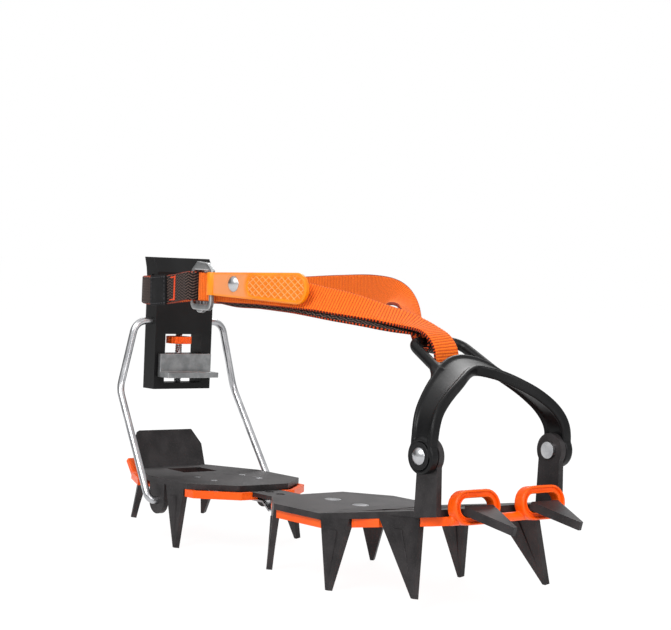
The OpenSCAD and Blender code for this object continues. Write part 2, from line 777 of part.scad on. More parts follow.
module basket_rivets() {
    head_y = arm_y + arm_t / 2 + washer_t + 2 * face_gap;
    foot_y = post_y - plate_t - face_gap;
    dome_r = dome_radius(rivet_head_r, rivet_dome);
    color(bright) both_sides() {
        pin_y(basket_x, basket_z, rivet_r, foot_y - rivet_foot_t / 2, head_y + rivet_dome / 2);
        pin_y(basket_x, basket_z, rivet_head_r, foot_y - rivet_foot_t, foot_y);
        intersection() {
            translate([basket_x, head_y + rivet_dome - dome_r, basket_z]) sphere(r = dome_r);
            pin_y(basket_x, basket_z, rivet_head_r + lap, head_y, head_y + rivet_dome + lap);
        }
    }
}

module basket_washers() {
    y0 = arm_y + arm_t / 2 + face_gap;
    color(black) both_sides() difference() {
        pin_y(basket_x, basket_z, washer_r, y0, y0 + washer_t);
        pin_y(basket_x, basket_z, rivet_r + pin_gap, y0 - lap, y0 + washer_t + lap);
    }
}

module rear_outline() {
    side_end = heel_point_x + heel_point_w / 2 + edge_run;
    polygon(mirrored_outline([[heel_front_x, heel_front_hw], [side_end, heel_hw],
        [back_corner_x, heel_hw], [heel_rear_x, back_hw]]));
}

module guide_rivet_places() {
    foot_y = bar_w / 2 + slide_gap + guide_wall + guide_foot / 2;
    for (s = [-1, 1]) for (e = [-1, 1])
        translate([guide_x + e * (guide_len / 2 - guide_rivet_inset), s * foot_y, 0]) children();
}

module heel_stop() {
    corner = 3;
    flare = 2;
    shoulder = 0.6 * stop_h;
    root_in = 0.3;
    root_hw = back_hw + plate_t * tan(back_angle);
    translate([heel_rear_x + root_in, 0, plate_z + plate_t / 3]) rotate([0, -stop_lean, 0])
        rotate([90, 0, 90]) linear_extrude(plate_t) polygon([[-root_hw, 0], [root_hw, 0],
            [back_hw + flare, shoulder],
            [back_hw - corner, stop_h], [corner - back_hw, stop_h], [-back_hw - flare, shoulder]]);
}

module bail_ear() {
    upright(heel_hw, plate_t) {
        translate([bail_x, bail_z]) circle(r = ear_r);
        translate([bail_x - ear_r, bail_z]) square([2 * ear_r, top_z - bail_z]);
    }
}

module rear_frame() {
    window_x = (guide_x - guide_len / 2 + heel_rear_x) / 2;
    color(steel) difference() {
        union() {
            translate([0, 0, plate_z]) linear_extrude(plate_t) difference() {
                rear_outline();
                translate([window_x, 0]) square([heel_window_len, heel_window_w], center = true);
            }
            both_sides() {
                down_point(heel_point_x, heel_hw, heel_point_w, heel_tip_x - heel_point_x);
                down_point(back_point_x, back_point_y, back_point_w, back_tip_shift, back_tip_z, back_angle);
                bail_ear();
            }
            heel_stop();
        }
        pin_y(bail_x, bail_z, wire_r + pin_gap, -far / 2, far / 2);
        guide_rivet_places() translate([0, 0, plate_z - lap])
            cylinder(r = guide_rivet_r + pin_gap, h = plate_t + 2 * lap);
    }
}

// Leaning lip behind the heel, under the heel stop
module rear_lip() {
    root_flare = 3;
    end_flare = 2;
    translate([heel_rear_x - rim_gap, 0, rim_z]) rotate([0, -lip_lean, 0]) rotate([90, 0, 90])
        linear_extrude(rim_w) polygon([[-back_hw - root_flare, 0], [back_hw + root_flare, 0],
            [back_hw + end_flare, lip_len], [-back_hw - end_flare, lip_len]]);
}

module rear_antiball() {
    leg_room_back = 14;
    leg_room_front = 6;
    guide_hw = bar_w / 2 + slide_gap + guide_wall + guide_foot + slot_gap;
    bar_room = bar_w / 2 + slide_gap;
    leaf_room = leaf_w / 2 + slot_gap;
    side = heel_hw - rim_inset;
    color(orange) difference() {
        union() {
            translate([0, 0, rim_z]) linear_extrude(floor_t) intersection() {
                offset(delta = rim_gap + rim_w) rear_outline();
                side_limit(side);
            }
            translate([0, 0, rim_z]) linear_extrude(rim_h) difference() {
                intersection() {
                    offset(delta = rim_gap + rim_w) rear_outline();
                    side_limit(side);
                }
                intersection() {
                    offset(delta = rim_gap) rear_outline();
                    side_limit(side - rim_w);
                }
            }
            rear_lip();
        }
        both_sides() {
            point_slot(heel_point_x, heel_hw, heel_point_w);
            point_slot(back_point_x, back_point_y, back_point_w, back_angle);
            translate([bail_x - ear_r - leg_room_back, heel_hw - plate_t - slot_gap, rim_z - lap])
                cube([2 * ear_r + leg_room_back + leg_room_front, far, far]);
        }
        translate([guide_x - guide_len / 2 - slot_gap, -guide_hw, rim_z - lap])
            cube([guide_len + 2 * slot_gap, 2 * guide_hw, far]);
        translate([guide_x, -leaf_room, rim_z - lap]) cube([far / 2, 2 * leaf_room, far]);
        translate([guide_x, -bar_room, bar_z - slide_gap]) cube([far / 2, 2 * bar_room, far]);
    }
}

guide_top = plate_z - face_gap;
web_top = bar_z - slide_gap;
leaf_z = web_top - guide_wall - face_gap - leaf_t;
latch_rivet_x = (leaf_rear_x + leaf_hinge_x) / 2;

// Hat-shaped bridge under the heel plate
module bar_guide() {
    inner = bar_w / 2 + slide_gap;
    color(steel) difference() {
        translate([guide_x - guide_len / 2, 0, 0]) rotate([90, 0, 90]) linear_extrude(guide_len) {
            translate([-inner - guide_wall, web_top - guide_wall])
                square([2 * (inner + guide_wall), guide_wall]);
            for (s = [0, 1]) mirror([s, 0]) {
                translate([inner, web_top - guide_wall])
                    square([guide_wall, guide_top - web_top + guide_wall]);
                translate([inner, guide_top - guide_wall]) square([guide_wall + guide_foot, guide_wall]);
            }
        }
        guide_rivet_places() translate([0, 0, bar_z - lap])
            cylinder(r = guide_rivet_r + pin_gap, h = plate_t + bar_t);
        translate([latch_rivet_x, 0, leaf_z]) cylinder(r = latch_rivet_r + pin_gap, h = bar_z - leaf_z);
    }
}

module guide_rivets() {
    foot_z = guide_top - guide_wall - face_gap;
    color(bright) guide_rivet_places() {
        translate([0, 0, foot_z - flat_head_t]) cylinder(r = guide_rivet_head_r, h = flat_head_t);
        translate([0, 0, foot_z - flat_head_t / 2])
            cylinder(r = guide_rivet_r, h = top_z - foot_z + flat_head_t / 2);
    }
}

module length_latch() {
    peg_short = 0.4;
    peg_foot = leaf_z + leaf_t / 2;
    leaf_top = leaf_z + leaf_t;
    tab_x = leaf_front_x + leaf_tab_len * cos(leaf_tab_drop);
    tab_z = leaf_z - leaf_tab_len * sin(leaf_tab_drop);
    color(bright) {
        difference() {
            upright(leaf_w / 2, leaf_w) polygon([[leaf_rear_x, leaf_z], [leaf_front_x, leaf_z],
                [tab_x, tab_z],
                [tab_x + leaf_t * sin(leaf_tab_drop), tab_z + leaf_t * cos(leaf_tab_drop)],
                [leaf_front_x + leaf_t * tan(leaf_tab_drop / 2), leaf_top], [leaf_rear_x, leaf_top]]);
            translate([latch_rivet_x, 0, leaf_z - lap])
                cylinder(r = latch_rivet_r + pin_gap, h = leaf_t + 2 * lap);
        }
        translate([peg_x, 0, peg_foot]) cylinder(r = peg_r, h = bar_z + bar_t - peg_short - peg_foot);
    }
}

module latch_rivet() {
    color(bright) translate([latch_rivet_x, 0, 0]) {
        translate([0, 0, leaf_z - face_gap - flat_head_t]) cylinder(r = latch_head_r, h = flat_head_t);
        translate([0, 0, leaf_z - face_gap - flat_head_t / 2])
            cylinder(r = latch_rivet_r, h = web_top - leaf_z + face_gap + flat_head_t / 2);
    }
}

module heel_bail() {
    end_y = heel_hw - plate_t - bail_tail;
    leg_y = heel_hw + leg_out;
    eye_bend = 4;
    knee_bend = 14;
    corner_bend = 8;
    half = [[bail_x, end_y + lap / 2, bail_z], [bail_x, leg_y, bail_z],
        [cross_x + lap, heel_hw + knee_out, cross_z - knee_drop], [cross_x, lever_hw + cross_side, cross_z]];
    bends = [0, eye_bend, knee_bend, corner_bend];
    route = bent_route(concat(half, [for (i = [3 : -1 : 0]) [half[i][0], -half[i][1], half[i][2]]]),
        concat(bends, [for (i = [3 : -1 : 0]) bends[i]]), bend_steps);
    bar_short = 0.5;
    straight = lever_hw + cross_side - corner_bend - bar_short;
    color(bright) {
        wire(route, wire_share * wire_r, [1, 0, 0]);
        both_sides() pin_y(bail_x, bail_z, wire_r, end_y, leg_y - eye_bend - bar_short / 2);
        pin_y(cross_x, cross_z, wire_r, -straight, straight);
    }
}

window_low = window_sill - lever_down;
wheel_gap = 1.5;
wheel_z = -window_drop - wheel_gap - wheel_t;
tongue_z = wheel_z - claw_rise - tongue_h;
socket_depth = 2.2;

module heel_lever() {
    channel_t = strap_t + 2 * channel_gap;
    channel_h = strap_w + 2 * edge_gap;
    top_cut = 8;
    lip_h = 6;
    color(black) translate([cross_x, 0, cross_z]) difference() {
        upright(lever_hw, 2 * lever_hw) polygon([
            [lever_front, -lever_down], [lever_front, lever_up - top_cut], [0, lever_up],
            [-lever_back - pull_lip, lever_up], [-lever_back - pull_lip / 3, lever_up - lip_h],
            [-lever_back, lever_up - 2 * lip_h], [-lever_back, -lever_down]]);
        pin_y(0, 0, wire_r + pin_gap, -lever_hw - lap, lever_hw + lap);
        translate([-channel_t / 2, -lever_hw - lap, channel_up - channel_h / 2])
            cube([channel_t, 2 * (lever_hw + lap), channel_h]);
        translate([-far / 2, -window_hw, window_low]) cube([far, 2 * window_hw, -window_drop - window_low]);
        translate([0, 0, window_low - socket_depth])
            cylinder(r = adjuster_r + pin_gap, h = 2 * socket_depth - window_drop - window_low);
    }
}

module heel_claw() {
    face = lever_front + slide_gap;
    face_hw = lever_hw - 2;
    tongue_hw = window_hw - slide_gap;
    tongue_back = lever_back - slide_gap;
    color(bright) translate([cross_x, 0, cross_z]) difference() {
        union() {
            translate([-tongue_back, -tongue_hw, tongue_z])
                cube([tongue_back + face + claw_t / 2, 2 * tongue_hw, tongue_h]);
            translate([face, -face_hw, tongue_z - claw_drop])
                cube([claw_t, 2 * face_hw, claw_drop + tongue_h]);
            translate([face, -face_hw, tongue_z - claw_drop])
                cube([claw_t + claw_reach, 2 * face_hw, claw_t]);
        }
        translate([0, 0, tongue_z - lap]) cylinder(r = adjuster_r + pin_gap, h = tongue_h + 2 * lap);
    }
}

module adjuster_screw() {
    end_gap = 0.2;
    reach = socket_depth - end_gap;
    color(bright) translate([cross_x, 0, cross_z + window_low - reach])
        cylinder(r = adjuster_r, h = 2 * reach - window_drop - window_low);
}

module thumbwheel() {
    press_gap = 0.03;
    notch_r = 0.8;
    notch_out = 0.3;
    color(orange) translate([cross_x, 0, cross_z + wheel_z]) difference() {
        cylinder(r = wheel_r, h = wheel_t);
        translate([0, 0, -lap]) cylinder(r = adjuster_r + press_gap, h = wheel_t + 2 * lap);
        for (i = [0 : wheel_notches - 1]) rotate([0, 0, i * 360 / wheel_notches])
            translate([wheel_r + notch_out, 0, -lap]) cylinder(r = notch_r, h = wheel_t + 2 * lap);
    }
}

wrap_r = buckle_r + strap_gap + strap_t / 2;
bar_wrap_r = ring_bar_r + strap_gap + strap_t / 2;
ring_room = 0.6;
outer_rear_y = buckle_y - 2 * buckle_r - ring_room;
strap_z = cross_z + channel_up;
bight_shift = 1;

function band(rows, w) = [for (r = rows) [r, w, strap_w]];
function turn(cx, cy, z, r, a0, a1, n) =
    [for (k = [0 : n]) let (a = a0 + (a1 - a0) * k / n) [cx + r * cos(a), cy + r * sin(a), z]];

// The strap's route, from its sewn end round the rings, the heel, the far side, the basket and back
inner_bar = [buckle_x + inner_len * cos(inner_turn), buckle_y - inner_len * sin(inner_turn)];
strap_sewn = [[-98, -42.3, 135.3], [-88, -42.8, 136.2], [-80, -42.8, 137],
    [-69, buckle_y + wrap_r - 0.6, 138.4]];
strap_loop = concat(turn(buckle_x, buckle_y, buckle_z, wrap_r, 90, 0, 3),
    turn(buckle_x, outer_rear_y, buckle_z, wrap_r, 0, -90, 3));
strap_label_side = [[-69, outer_rear_y - wrap_r + 0.9, 138.4], [-80, -45, 137], [-88, -44.8, 136.2],
    [-98, -44.3, 135.3], [-112, -41, 134.9], [-127, -34, 134.9]];
strap_lever_entry = [[4.5, 8], [0.6, 3.5], [0, 1.4], [0, -2]];
strap_heel = concat(
    [for (e = strap_lever_entry) [cross_x + e[0], -lever_hw - e[1], strap_z]],
    [for (i = [3 : -1 : 0]) let (e = strap_lever_entry[i]) [cross_x + e[0], lever_hw + e[1], strap_z]]);
strap_far = [[-127, 34, 135.3], [-112, 40, 136], [-84, 43, 138], [-50, 42, 140], [-15, 37.5, 141]];
strap_far_slope = [[[8, 30.5, 139.5], [0, 0.4, 0.9], strap_w], [[24, 23.5, 136], [0, 0.95, 0.3], strap_w],
    [[37, 17, 131.5], [0, 0.95, -0.3], strap_w], [[51, 10.5, 124.5], [0, 0.9, -0.4], strap_w],
    [ring_bar + [-7, 3.8, -bar_wrap_r - 1], [0.05, 1, -0.1], strap_w],
    [ring_bar + [-2.6, 1.8, -bar_wrap_r - 0.15], level_w, strap_w]];
strap_bight = [for (k = [0 : 6]) let (a = -90 + 30 * k)
    [ring_bar + [bar_wrap_r * cos(a), bight_shift * (1 - k / 3), bar_wrap_r * sin(a)], level_w, strap_w]];
strap_near_slope = [[ring_bar + [-2.6, -1.6, bar_wrap_r + 0.6], level_w, strap_w],
    [ring_bar + [-7.5, -6.5, bar_wrap_r + 2.6], [-0.1, 1, 0.12], strap_w],
    [[57.3, -19.4, 128.2], [-0.1, 0.9, 0.45], strap_w], [[40.3, -29.6, 131.7], [-0.1, 0.7, 0.7], strap_w],
    [[15.3, -37.1, 135.5], [-0.1, 0.4, 0.9], strap_w]];
strap_near = [[-10, -39.6, 137], [-30, -40.5, 137], [-44, -40.6, 138.2]];
strap_fold = turn(inner_bar[0], inner_bar[1], buckle_z, wrap_r, 90, 270, 6);
strap_tail = [[[-48, -44.7, 139], upright_w, strap_w], [[-42, -43.6, 139], upright_w, strap_w],
    [[-30, -42.9, 139], upright_w, strap_w], [[-10, -41.7, 139.1], [0, 0.06, 1], strap_w],
    [[15, -38, 137.9], [-0.1, 0.4, 0.9], strap_w], [[30, -33.6, 136.2], [-0.1, 0.65, 0.75], strap_w],
    [[40, -29, 134.8], [-0.1, 0.7, 0.7], strap_w], [[57, -18, 131], [-0.1, 0.92, 0.4], strap_w],
    [[68, -9.5, 127.8], [-0.1, 0.97, 0.25], strap_w], [[77, -5.4, 124.6], level_w, strap_w],
    [[84, -4.4, 121], level_w, strap_w], [[88, -4, 116.2], level_w, strap_w],
    [[89.3, -4, 111], level_w, strap_w], [[89.8, -4, 105.5], level_w, strap_w]];

module ankle_strap() {
    color(orange) ribbon(concat(
        band(strap_sewn, upright_w), band(strap_loop, upright_w), band(strap_label_side, upright_w),
        band(strap_heel, upright_w), band(strap_far, upright_w), strap_far_slope,
        strap_bight, strap_near_slope, band(strap_near, upright_w), band(strap_fold, upright_w),
        strap_tail), strap_t, 2);
}

// A fabric tag on the outer face of the strap's sewn end
label_at = [[-86, -45, 136.1], [-94, -44.95, 135.5], [-102, -44.1, 135]];

module strap_label() {
    out = [0, -(strap_t + label_t) / 2 - 2 * face_gap, 0];
    color(black) ribbon([for (p = label_at) [p + out, upright_w, label_h]], label_t);
}

// Rectangular wire ring standing on its rear bar, which is at the origin
module buckle_ring(length) {
    z = strap_w / 2 + edge_gap + buckle_r;
    for (x = [0, length]) translate([x, 0, -z]) cylinder(r = buckle_r, h = 2 * z);
    for (s = [-1, 1]) {
        translate([0, 0, s * z]) rotate([0, 90, 0]) cylinder(r = buckle_r, h = length);
        for (x = [0, length]) translate([x, 0, s * z]) sphere(r = buckle_r);
    }
}

module ring_inner() {
    color(bright) translate([buckle_x, buckle_y, buckle_z]) rotate([0, 0, -inner_turn])
        buckle_ring(inner_len);
}

module ring_outer() {
    color(bright) translate([buckle_x, outer_rear_y, buckle_z]) rotate([0, 0, -outer_turn])
        buckle_ring(outer_len);
}

// Places what is drawn beside the outer ring's front bar, in the tab's own plane
module on_tab() {
    translate([buckle_x + outer_len * cos(outer_turn), outer_rear_y - outer_len * sin(outer_turn),
        buckle_z + tab_up]) rotate([0, 0, tab_turn]) children();
}

module release_tab() {
    eye_r = buckle_r + pin_gap;
    end_r = tab_end_w / 2;
    root_step = 0.2;
    root_x = eye_r + tab_wrap / 2;
    root_hw = tab_root_w / 2 - root_step;
    color(amber) on_tab() difference() {
        union() {
            translate([0, 0, -tab_root_w / 2]) cylinder(r = eye_r + tab_wrap, h = tab_root_w);
            upright(tab_t / 2, tab_t) {
                polygon([[root_x, -root_hw], [tab_len - end_r, -end_r], [tab_len - end_r, end_r],
                    [root_x, root_hw]]);
                translate([tab_len - end_r, 0]) circle(r = end_r);
            }
        }
        translate([0, 0, -tab_root_w]) cylinder(r = eye_r, h = 2 * tab_root_w);
        pin_y(tab_rivet_x, tab_rivet_up, tab_rivet_r + pin_gap, -2 * tab_t, 2 * tab_t);
    }
}

module tab_rivet() {
    dome_r = dome_radius(tab_head_r, tab_dome);
    head_y = -tab_t / 2 - face_gap;
    color(bright) on_tab() translate([tab_rivet_x, 0, tab_rivet_up]) {
        pin_y(0, 0, tab_rivet_r, head_y - tab_dome / 2, tab_t / 2);
        intersection() {
            translate([0, head_y - tab_dome + dome_r, 0]) sphere(r = dome_r);
            pin_y(0, 0, tab_head_r + lap, head_y - tab_dome - lap, head_y);
        }
    }
}

front_frame();
front_antiball();
linking_bar();
bar_screws();
bar_nuts();
toe_basket();
basket_rivets();
basket_washers();
rear_frame();
rear_antiball();
bar_guide();
guide_rivets();
length_latch();
latch_rivet();
heel_bail();
heel_lever();
heel_claw();
adjuster_screw();
thumbwheel();
ankle_strap();
strap_label();
ring_inner();
ring_outer();
release_tab();
tab_rivet();
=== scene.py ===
"""Finished looks of a twelve-point crampon with a toe basket and a heel lever.

Sizes and places are written in millimetres and turned into metres when a mesh is made.
+X points to the toe, +Y to the wearer's left, +Z up; the ground is at z = 0.
"""
import json
import math
from contextlib import contextmanager

import bmesh
import bpy
import numpy as np
from mathutils import Matrix, Vector


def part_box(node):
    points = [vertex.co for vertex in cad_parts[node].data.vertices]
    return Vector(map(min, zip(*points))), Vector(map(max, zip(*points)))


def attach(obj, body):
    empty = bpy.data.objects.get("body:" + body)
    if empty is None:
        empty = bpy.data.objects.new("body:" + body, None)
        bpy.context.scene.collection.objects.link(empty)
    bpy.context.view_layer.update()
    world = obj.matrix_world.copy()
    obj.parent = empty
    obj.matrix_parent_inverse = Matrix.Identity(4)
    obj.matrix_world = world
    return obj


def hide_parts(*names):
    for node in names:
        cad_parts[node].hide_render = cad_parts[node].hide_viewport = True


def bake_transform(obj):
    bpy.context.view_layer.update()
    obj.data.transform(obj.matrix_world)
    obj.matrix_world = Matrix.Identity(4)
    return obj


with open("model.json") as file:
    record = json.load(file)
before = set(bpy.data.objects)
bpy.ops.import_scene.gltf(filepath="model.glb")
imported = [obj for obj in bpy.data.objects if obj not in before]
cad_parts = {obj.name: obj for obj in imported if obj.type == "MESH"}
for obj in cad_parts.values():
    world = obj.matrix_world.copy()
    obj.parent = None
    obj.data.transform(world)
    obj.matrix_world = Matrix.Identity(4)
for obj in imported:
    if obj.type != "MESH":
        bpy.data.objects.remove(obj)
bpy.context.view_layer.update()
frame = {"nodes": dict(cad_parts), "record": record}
MM = 0.001
UP = np.array([0.0, 0.0, 1.0])
LEFT = np.array([0.0, 1.0, 0.0])
SIDES = (-1, 1)


# Small helpers for vectors, meshes and pieces

def point(*parts):
    return np.array(parts, float)


def unit(v):
    return v / np.linalg.norm(v)


def unit_rows(rows):
    return rows / np.linalg.norm(rows, axis=1)[:, None]


def full_turn(sides):
    """Angles of evenly spaced places round a circle."""
    return np.linspace(0, 2 * math.pi, sides, endpoint=False)


def clamped(value):
    return min(1.0, max(0.0, value))


def body_of(node):
    bodies = frame["record"]["behaviour"]["bodies"]
    return next(name for name, nodes in bodies.items() if node in nodes)


@contextmanager
def editing(mesh):
    """A mesh opened for edits, which are written back at the end."""
    shape = bmesh.new()
    shape.from_mesh(mesh)
    yield shape
    shape.to_mesh(mesh)
    shape.free()


def mesh_from(name, verts, faces):
    """Mesh in metres from points in millimetres, with its faces turned outwards."""
    mesh = bpy.data.meshes.new(name)
    mesh.from_pydata([tuple(np.asarray(v, float) * MM) for v in verts], [], faces)
    with editing(mesh) as shape:
        bmesh.ops.recalc_face_normals(shape, faces=shape.faces)
    return mesh


def write_values(mesh, values):
    """Writes rows of numbers to the points of a mesh, each row under its name."""
    for name, row in values.items():
        mesh.attributes.new(name, "FLOAT", "POINT").data.foreach_set("value", np.array(row, np.float32))


def smooth(mesh, angle):
    """Smooth shading that keeps edges sharper than the angle."""
    mesh.shade_smooth()
    mesh.set_sharp_from_angle(angle=math.radians(angle))


def linked(name, data):
    """New object in the scene."""
    obj = bpy.data.objects.new(name, data)
    bpy.context.scene.collection.objects.link(obj)
    return obj


def object_from(name, mesh, material):
    mesh.materials.clear()
    mesh.materials.append(material)
    return linked(name, mesh)


def baked(obj):
    """Turns an object's modifiers into plain mesh."""
    graph = bpy.context.evaluated_depsgraph_get()
    mesh = bpy.data.meshes.new_from_object(obj.evaluated_get(graph))
    obj.modifiers.clear()
    obj.data = mesh
    return obj


def joined(name, *meshes):
    """One mesh from several closed meshes."""
    shape = bmesh.new()
    for mesh in meshes:
        shape.from_mesh(mesh)
    out = bpy.data.meshes.new(name)
    shape.to_mesh(out)
    shape.free()
    return out


def skin(rings, wrap=False):
    """Points and faces over a row of rings, capped at both ends unless the row closes on itself."""
    n = len(rings[0])
    rows = len(rings)
    verts = [p for ring in rings for p in ring]
    faces = []
    for i in range(rows if wrap else rows - 1):
        a = i * n
        b = (i + 1) % rows * n
        for k in range(n):
            j = (k + 1) % n
            faces.append((a + k, a + j, b + j, b + k))
    if not wrap:
        faces.append(tuple(reversed(range(n))))
        faces.append(tuple(range((rows - 1) * n, rows * n)))
    return verts, faces


def place(obj, slot, body, *nodes):
    """Finished piece that rides on a body and stands for CAD nodes; its finish slot is not used."""
    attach(obj, body)
    if nodes:
        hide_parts(*nodes)


def place_soft(obj, slot, first, second, start_x, end_x, node):
    """Finished soft piece, with its placing baked into its mesh, that stands for a CAD node; its finish slot,
    its two bodies and its two places on X are not used.
    """
    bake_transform(obj)
    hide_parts(node)


# Paths: a station is (place, direction of the width, width)

LEAST_SPAN = 0.001
DOME_SHARES = (0.92, 0.7)
DOME_RISE = 0.35
OFF_AXIS = point(0.3, 0.5, 0.8)


def headings(places):
    """Direction of the curve at each place, and the spans between places."""
    steps = places[1:] - places[:-1]
    spans = np.maximum(LEAST_SPAN, np.linalg.norm(steps, axis=1))
    chords = steps / spans[:, None]
    out = [chords[0]]
    for i in range(1, len(places) - 1):
        weighted = chords[i] * spans[i - 1] + chords[i - 1] * spans[i]
        out.append(weighted / (spans[i] + spans[i - 1]))
    out.append(chords[-1])
    return np.array(out), spans


def flowing(stations, step):
    """Places, width directions and widths along a smooth curve through the stations."""
    places, sides, widths = (np.array(column, float) for column in zip(*stations))
    tangents, spans = headings(places)
    counts = [max(2, math.ceil(span / step)) for span in spans]
    rows = [(i, k / count) for i, count in enumerate(counts) for k in range(count)]
    rows.append((len(places) - 2, 1.0))
    curve, side, width = [], [], []
    for i, t in rows:
        curve.append((2 * t**3 - 3 * t**2 + 1) * places[i] + (t**3 - 2 * t**2 + t) * spans[i] * tangents[i]
                     + (3 * t**2 - 2 * t**3) * places[i + 1] + (t**3 - t**2) * spans[i] * tangents[i + 1])
        side.append(unit(sides[i] + (sides[i + 1] - sides[i]) * t))
        width.append(widths[i] + (widths[i + 1] - widths[i]) * t)
    return np.array(curve), np.array(side), np.array(width)


def frames_along(curve, side):
    """Unit across and normal directions at each place of a band."""
    along = unit_rows(np.gradient(curve, axis=0))
    normal = unit_rows(np.cross(along, side))
    return np.cross(normal, along), normal


def swept(outline, curve, across, normal):
    """Points and faces of an outline, in (across, through) pairs, carried along a band."""
    return skin([[p + a * u + n * v for u, v in outline] for p, a, n in zip(curve, across, normal)])


def lengths_along(curve):
    steps = np.linalg.norm(np.diff(curve, axis=0), axis=1)
    return np.concatenate([[0.0], np.cumsum(steps)])


def bent(corners, radii, steps=10):
    """Route through corners, each inner one rounded to its radius."""
    route = [corners[0]]
    for before, corner, after, radius in zip(corners, corners[1:], corners[2:], radii):
        a, b = unit(before - corner), unit(after - corner)
        half = math.acos(np.clip(a @ b, -1, 1)) / 2
        centre = corner + unit(a + b) * radius / math.sin(half)
        x = unit(corner + a * radius / math.tan(half) - centre)
        y = np.cross(unit(np.cross(x, -a)), x)
        for k in range(steps + 1):
            t = (math.pi - 2 * half) * k / steps
            route.append(centre + radius * (x * math.cos(t) + y * math.sin(t)))
    route.append(corners[-1])
    return np.array(route)


def filled_in(route, step):
    """The same route with its long straight runs divided."""
    out = []
    for a, b in zip(route, route[1:]):
        count = max(1, math.ceil(np.linalg.norm(b - a) / step))
        out += [a + (b - a) * k / count for k in range(count)]
    out.append(route[-1])
    return np.array(out)


def round_bar(route, radius, lead, sides=24):
    """Round bar along a route that never runs along its lead direction; ends are domed a little."""
    along = unit_rows(np.gradient(route, axis=0))
    rings = []
    for p, a in zip(route, along):
        side = unit(np.cross(lead, a))
        top = np.cross(a, side)
        rings.append([p + radius * (side * math.cos(w) + top * math.sin(w)) for w in full_turn(sides)])
    ends = []
    for end, direction in ((0, -1), (-1, 1)):
        dome = []
        for share in DOME_SHARES:
            lift = radius * DOME_RISE * math.sqrt(1 - share**2)
            centre = route[end] + along[end] * direction * lift
            dome.append([centre + (q - route[end]) * share for q in rings[end]])
        ends.append(dome)
    return skin(ends[0][::-1] + rings + ends[1])


def lathed(profile, centre, axis, sides=40):
    """Solid of revolution from (radius, height) pairs along an axis, capped at both ends."""
    axis = unit(axis)
    x = unit(np.cross(axis, OFF_AXIS))
    y = np.cross(axis, x)
    rings = [[centre + axis * h + r * (x * math.cos(w) + y * math.sin(w)) for w in full_turn(sides)]
             for r, h in profile]
    return skin(rings)


def swung(pivot, angle, x, off, z):
    """Place on an upright plate turned about its pivot: x along it, off through it, z up."""
    ux, uy = math.cos(angle), math.sin(angle)
    return pivot + point(x * ux - off * uy, x * uy + off * ux, z)


# Finishes: every one is a node material on object coordinates or on a piece's own attributes

class Tree:
    """A node tree with short calls to add and join nodes."""

    def __init__(self, tree):
        self.tree = tree

    def add(self, kind, inputs=None, **settings):
        node = self.tree.nodes.new(kind)
        for key, value in settings.items():
            setattr(node, key, value)
        for key, value in (inputs or {}).items():
            self.feed(node.inputs[key], value)
        return node

    def feed(self, socket, value):
        if isinstance(value, bpy.types.NodeSocket):
            self.tree.links.new(value, socket)
        else:
            socket.default_value = value

    def math(self, operation, a, b=0.0):
        return self.add("ShaderNodeMath", {0: a, 1: b}, operation=operation).outputs[0]

    def times(self, a, b):
        return self.math("MULTIPLY", a, b)

    def half_waves(self, value):
        """0 at whole numbers and 1 halfway between them."""
        return self.math("ABSOLUTE", self.math("SINE", self.times(value, math.pi)))

    def ramp(self, value, low, high):
        """The value taken from low..high to 0..1, smoothly."""
        node = self.add("ShaderNodeMapRange", {"Value": value, "From Min": low, "From Max": high},
                        interpolation_type="SMOOTHSTEP")
        return node.outputs["Result"]

    def spread(self, value, low, high):
        """The value taken from 0..1 to low..high."""
        node = self.add("ShaderNodeMapRange", {"Value": value, "To Min": low, "To Max": high})
        return node.outputs["Result"]

    def blend(self, share, a, b):
        """Colour a where the share is 0, colour b where it is 1."""
        return self.add("ShaderNodeMix", {0: share, 6: a, 7: b}, data_type="RGBA").outputs[2]

    def cloudy(self, value, dark, light):
        """Colour between two others, by the value of a noise."""
        return self.blend(self.ramp(value, 0.3, 0.7), dark, light)

    def noise(self, at, scale, detail):
        return self.add("ShaderNodeTexNoise", {"Vector": at, "Scale": scale, "Detail": detail}).outputs["Fac"]


def colour(red, green, blue):
    """Linear colour from values of 0 to 255."""
    parts = [c / 255 for c in (red, green, blue)]
    return tuple(c / 12.92 if c <= 0.04045 else ((c + 0.055) / 1.055) ** 2.4 for c in parts) + (1.0,)


def finish(name):
    """New node material: its tree, its shader and its object coordinates."""
    material = bpy.data.materials.new(name)
    material.use_nodes = True
    tree = Tree(material.node_tree)
    shader = material.node_tree.nodes["Principled BSDF"]
    at = tree.add("ShaderNodeTexCoord").outputs["Object"]
    return material, tree, shader, at


def feed_shader(tree, shader, values):
    """Sets the shader's sockets, by name, to constants or to what other nodes give."""
    for name, value in values.items():
        tree.feed(shader.inputs[name], value)


def bumped(tree, shader, height, strength, distance):
    bump = tree.add("ShaderNodeBump", {"Height": height, "Strength": strength, "Distance": distance})
    tree.feed(shader.inputs["Normal"], bump.outputs["Normal"])


def attribute(tree, name):
    return tree.add("ShaderNodeAttribute", attribute_name=name).outputs["Fac"]


def dark_steel():
    """Dark heat-treated steel, mottled, with worn edges that are also painted lighter as a highlight."""
    material, t, shader, at = finish("dark_steel")
    mottle = t.noise(at, 90, 6)
    speck = t.ramp(t.noise(at, 1500, 2), 0.55, 0.75)
    # Paler bevelled edges in patches: partly real wear, partly a painted highlight.
    worn_and_highlit = t.times(attribute(t, "edge"), t.ramp(t.noise(at, 260, 4), 0.25, 0.6))
    base = t.cloudy(mottle, colour(42, 40, 41), colour(60, 57, 58))
    base = t.blend(t.times(speck, 0.35), base, colour(82, 78, 77))
    feed_shader(t, shader, {
        "Base Color": t.blend(t.times(worn_and_highlit, 0.75), base, colour(122, 118, 117)),
        "Metallic": 0.5,
        "Specular IOR Level": 0.35,
        "Roughness": t.spread(mottle, 0.40, 0.54)})
    bumped(t, shader, t.math("ADD", t.noise(at, 700, 3), mottle), 0.45, 0.00016)
    return material


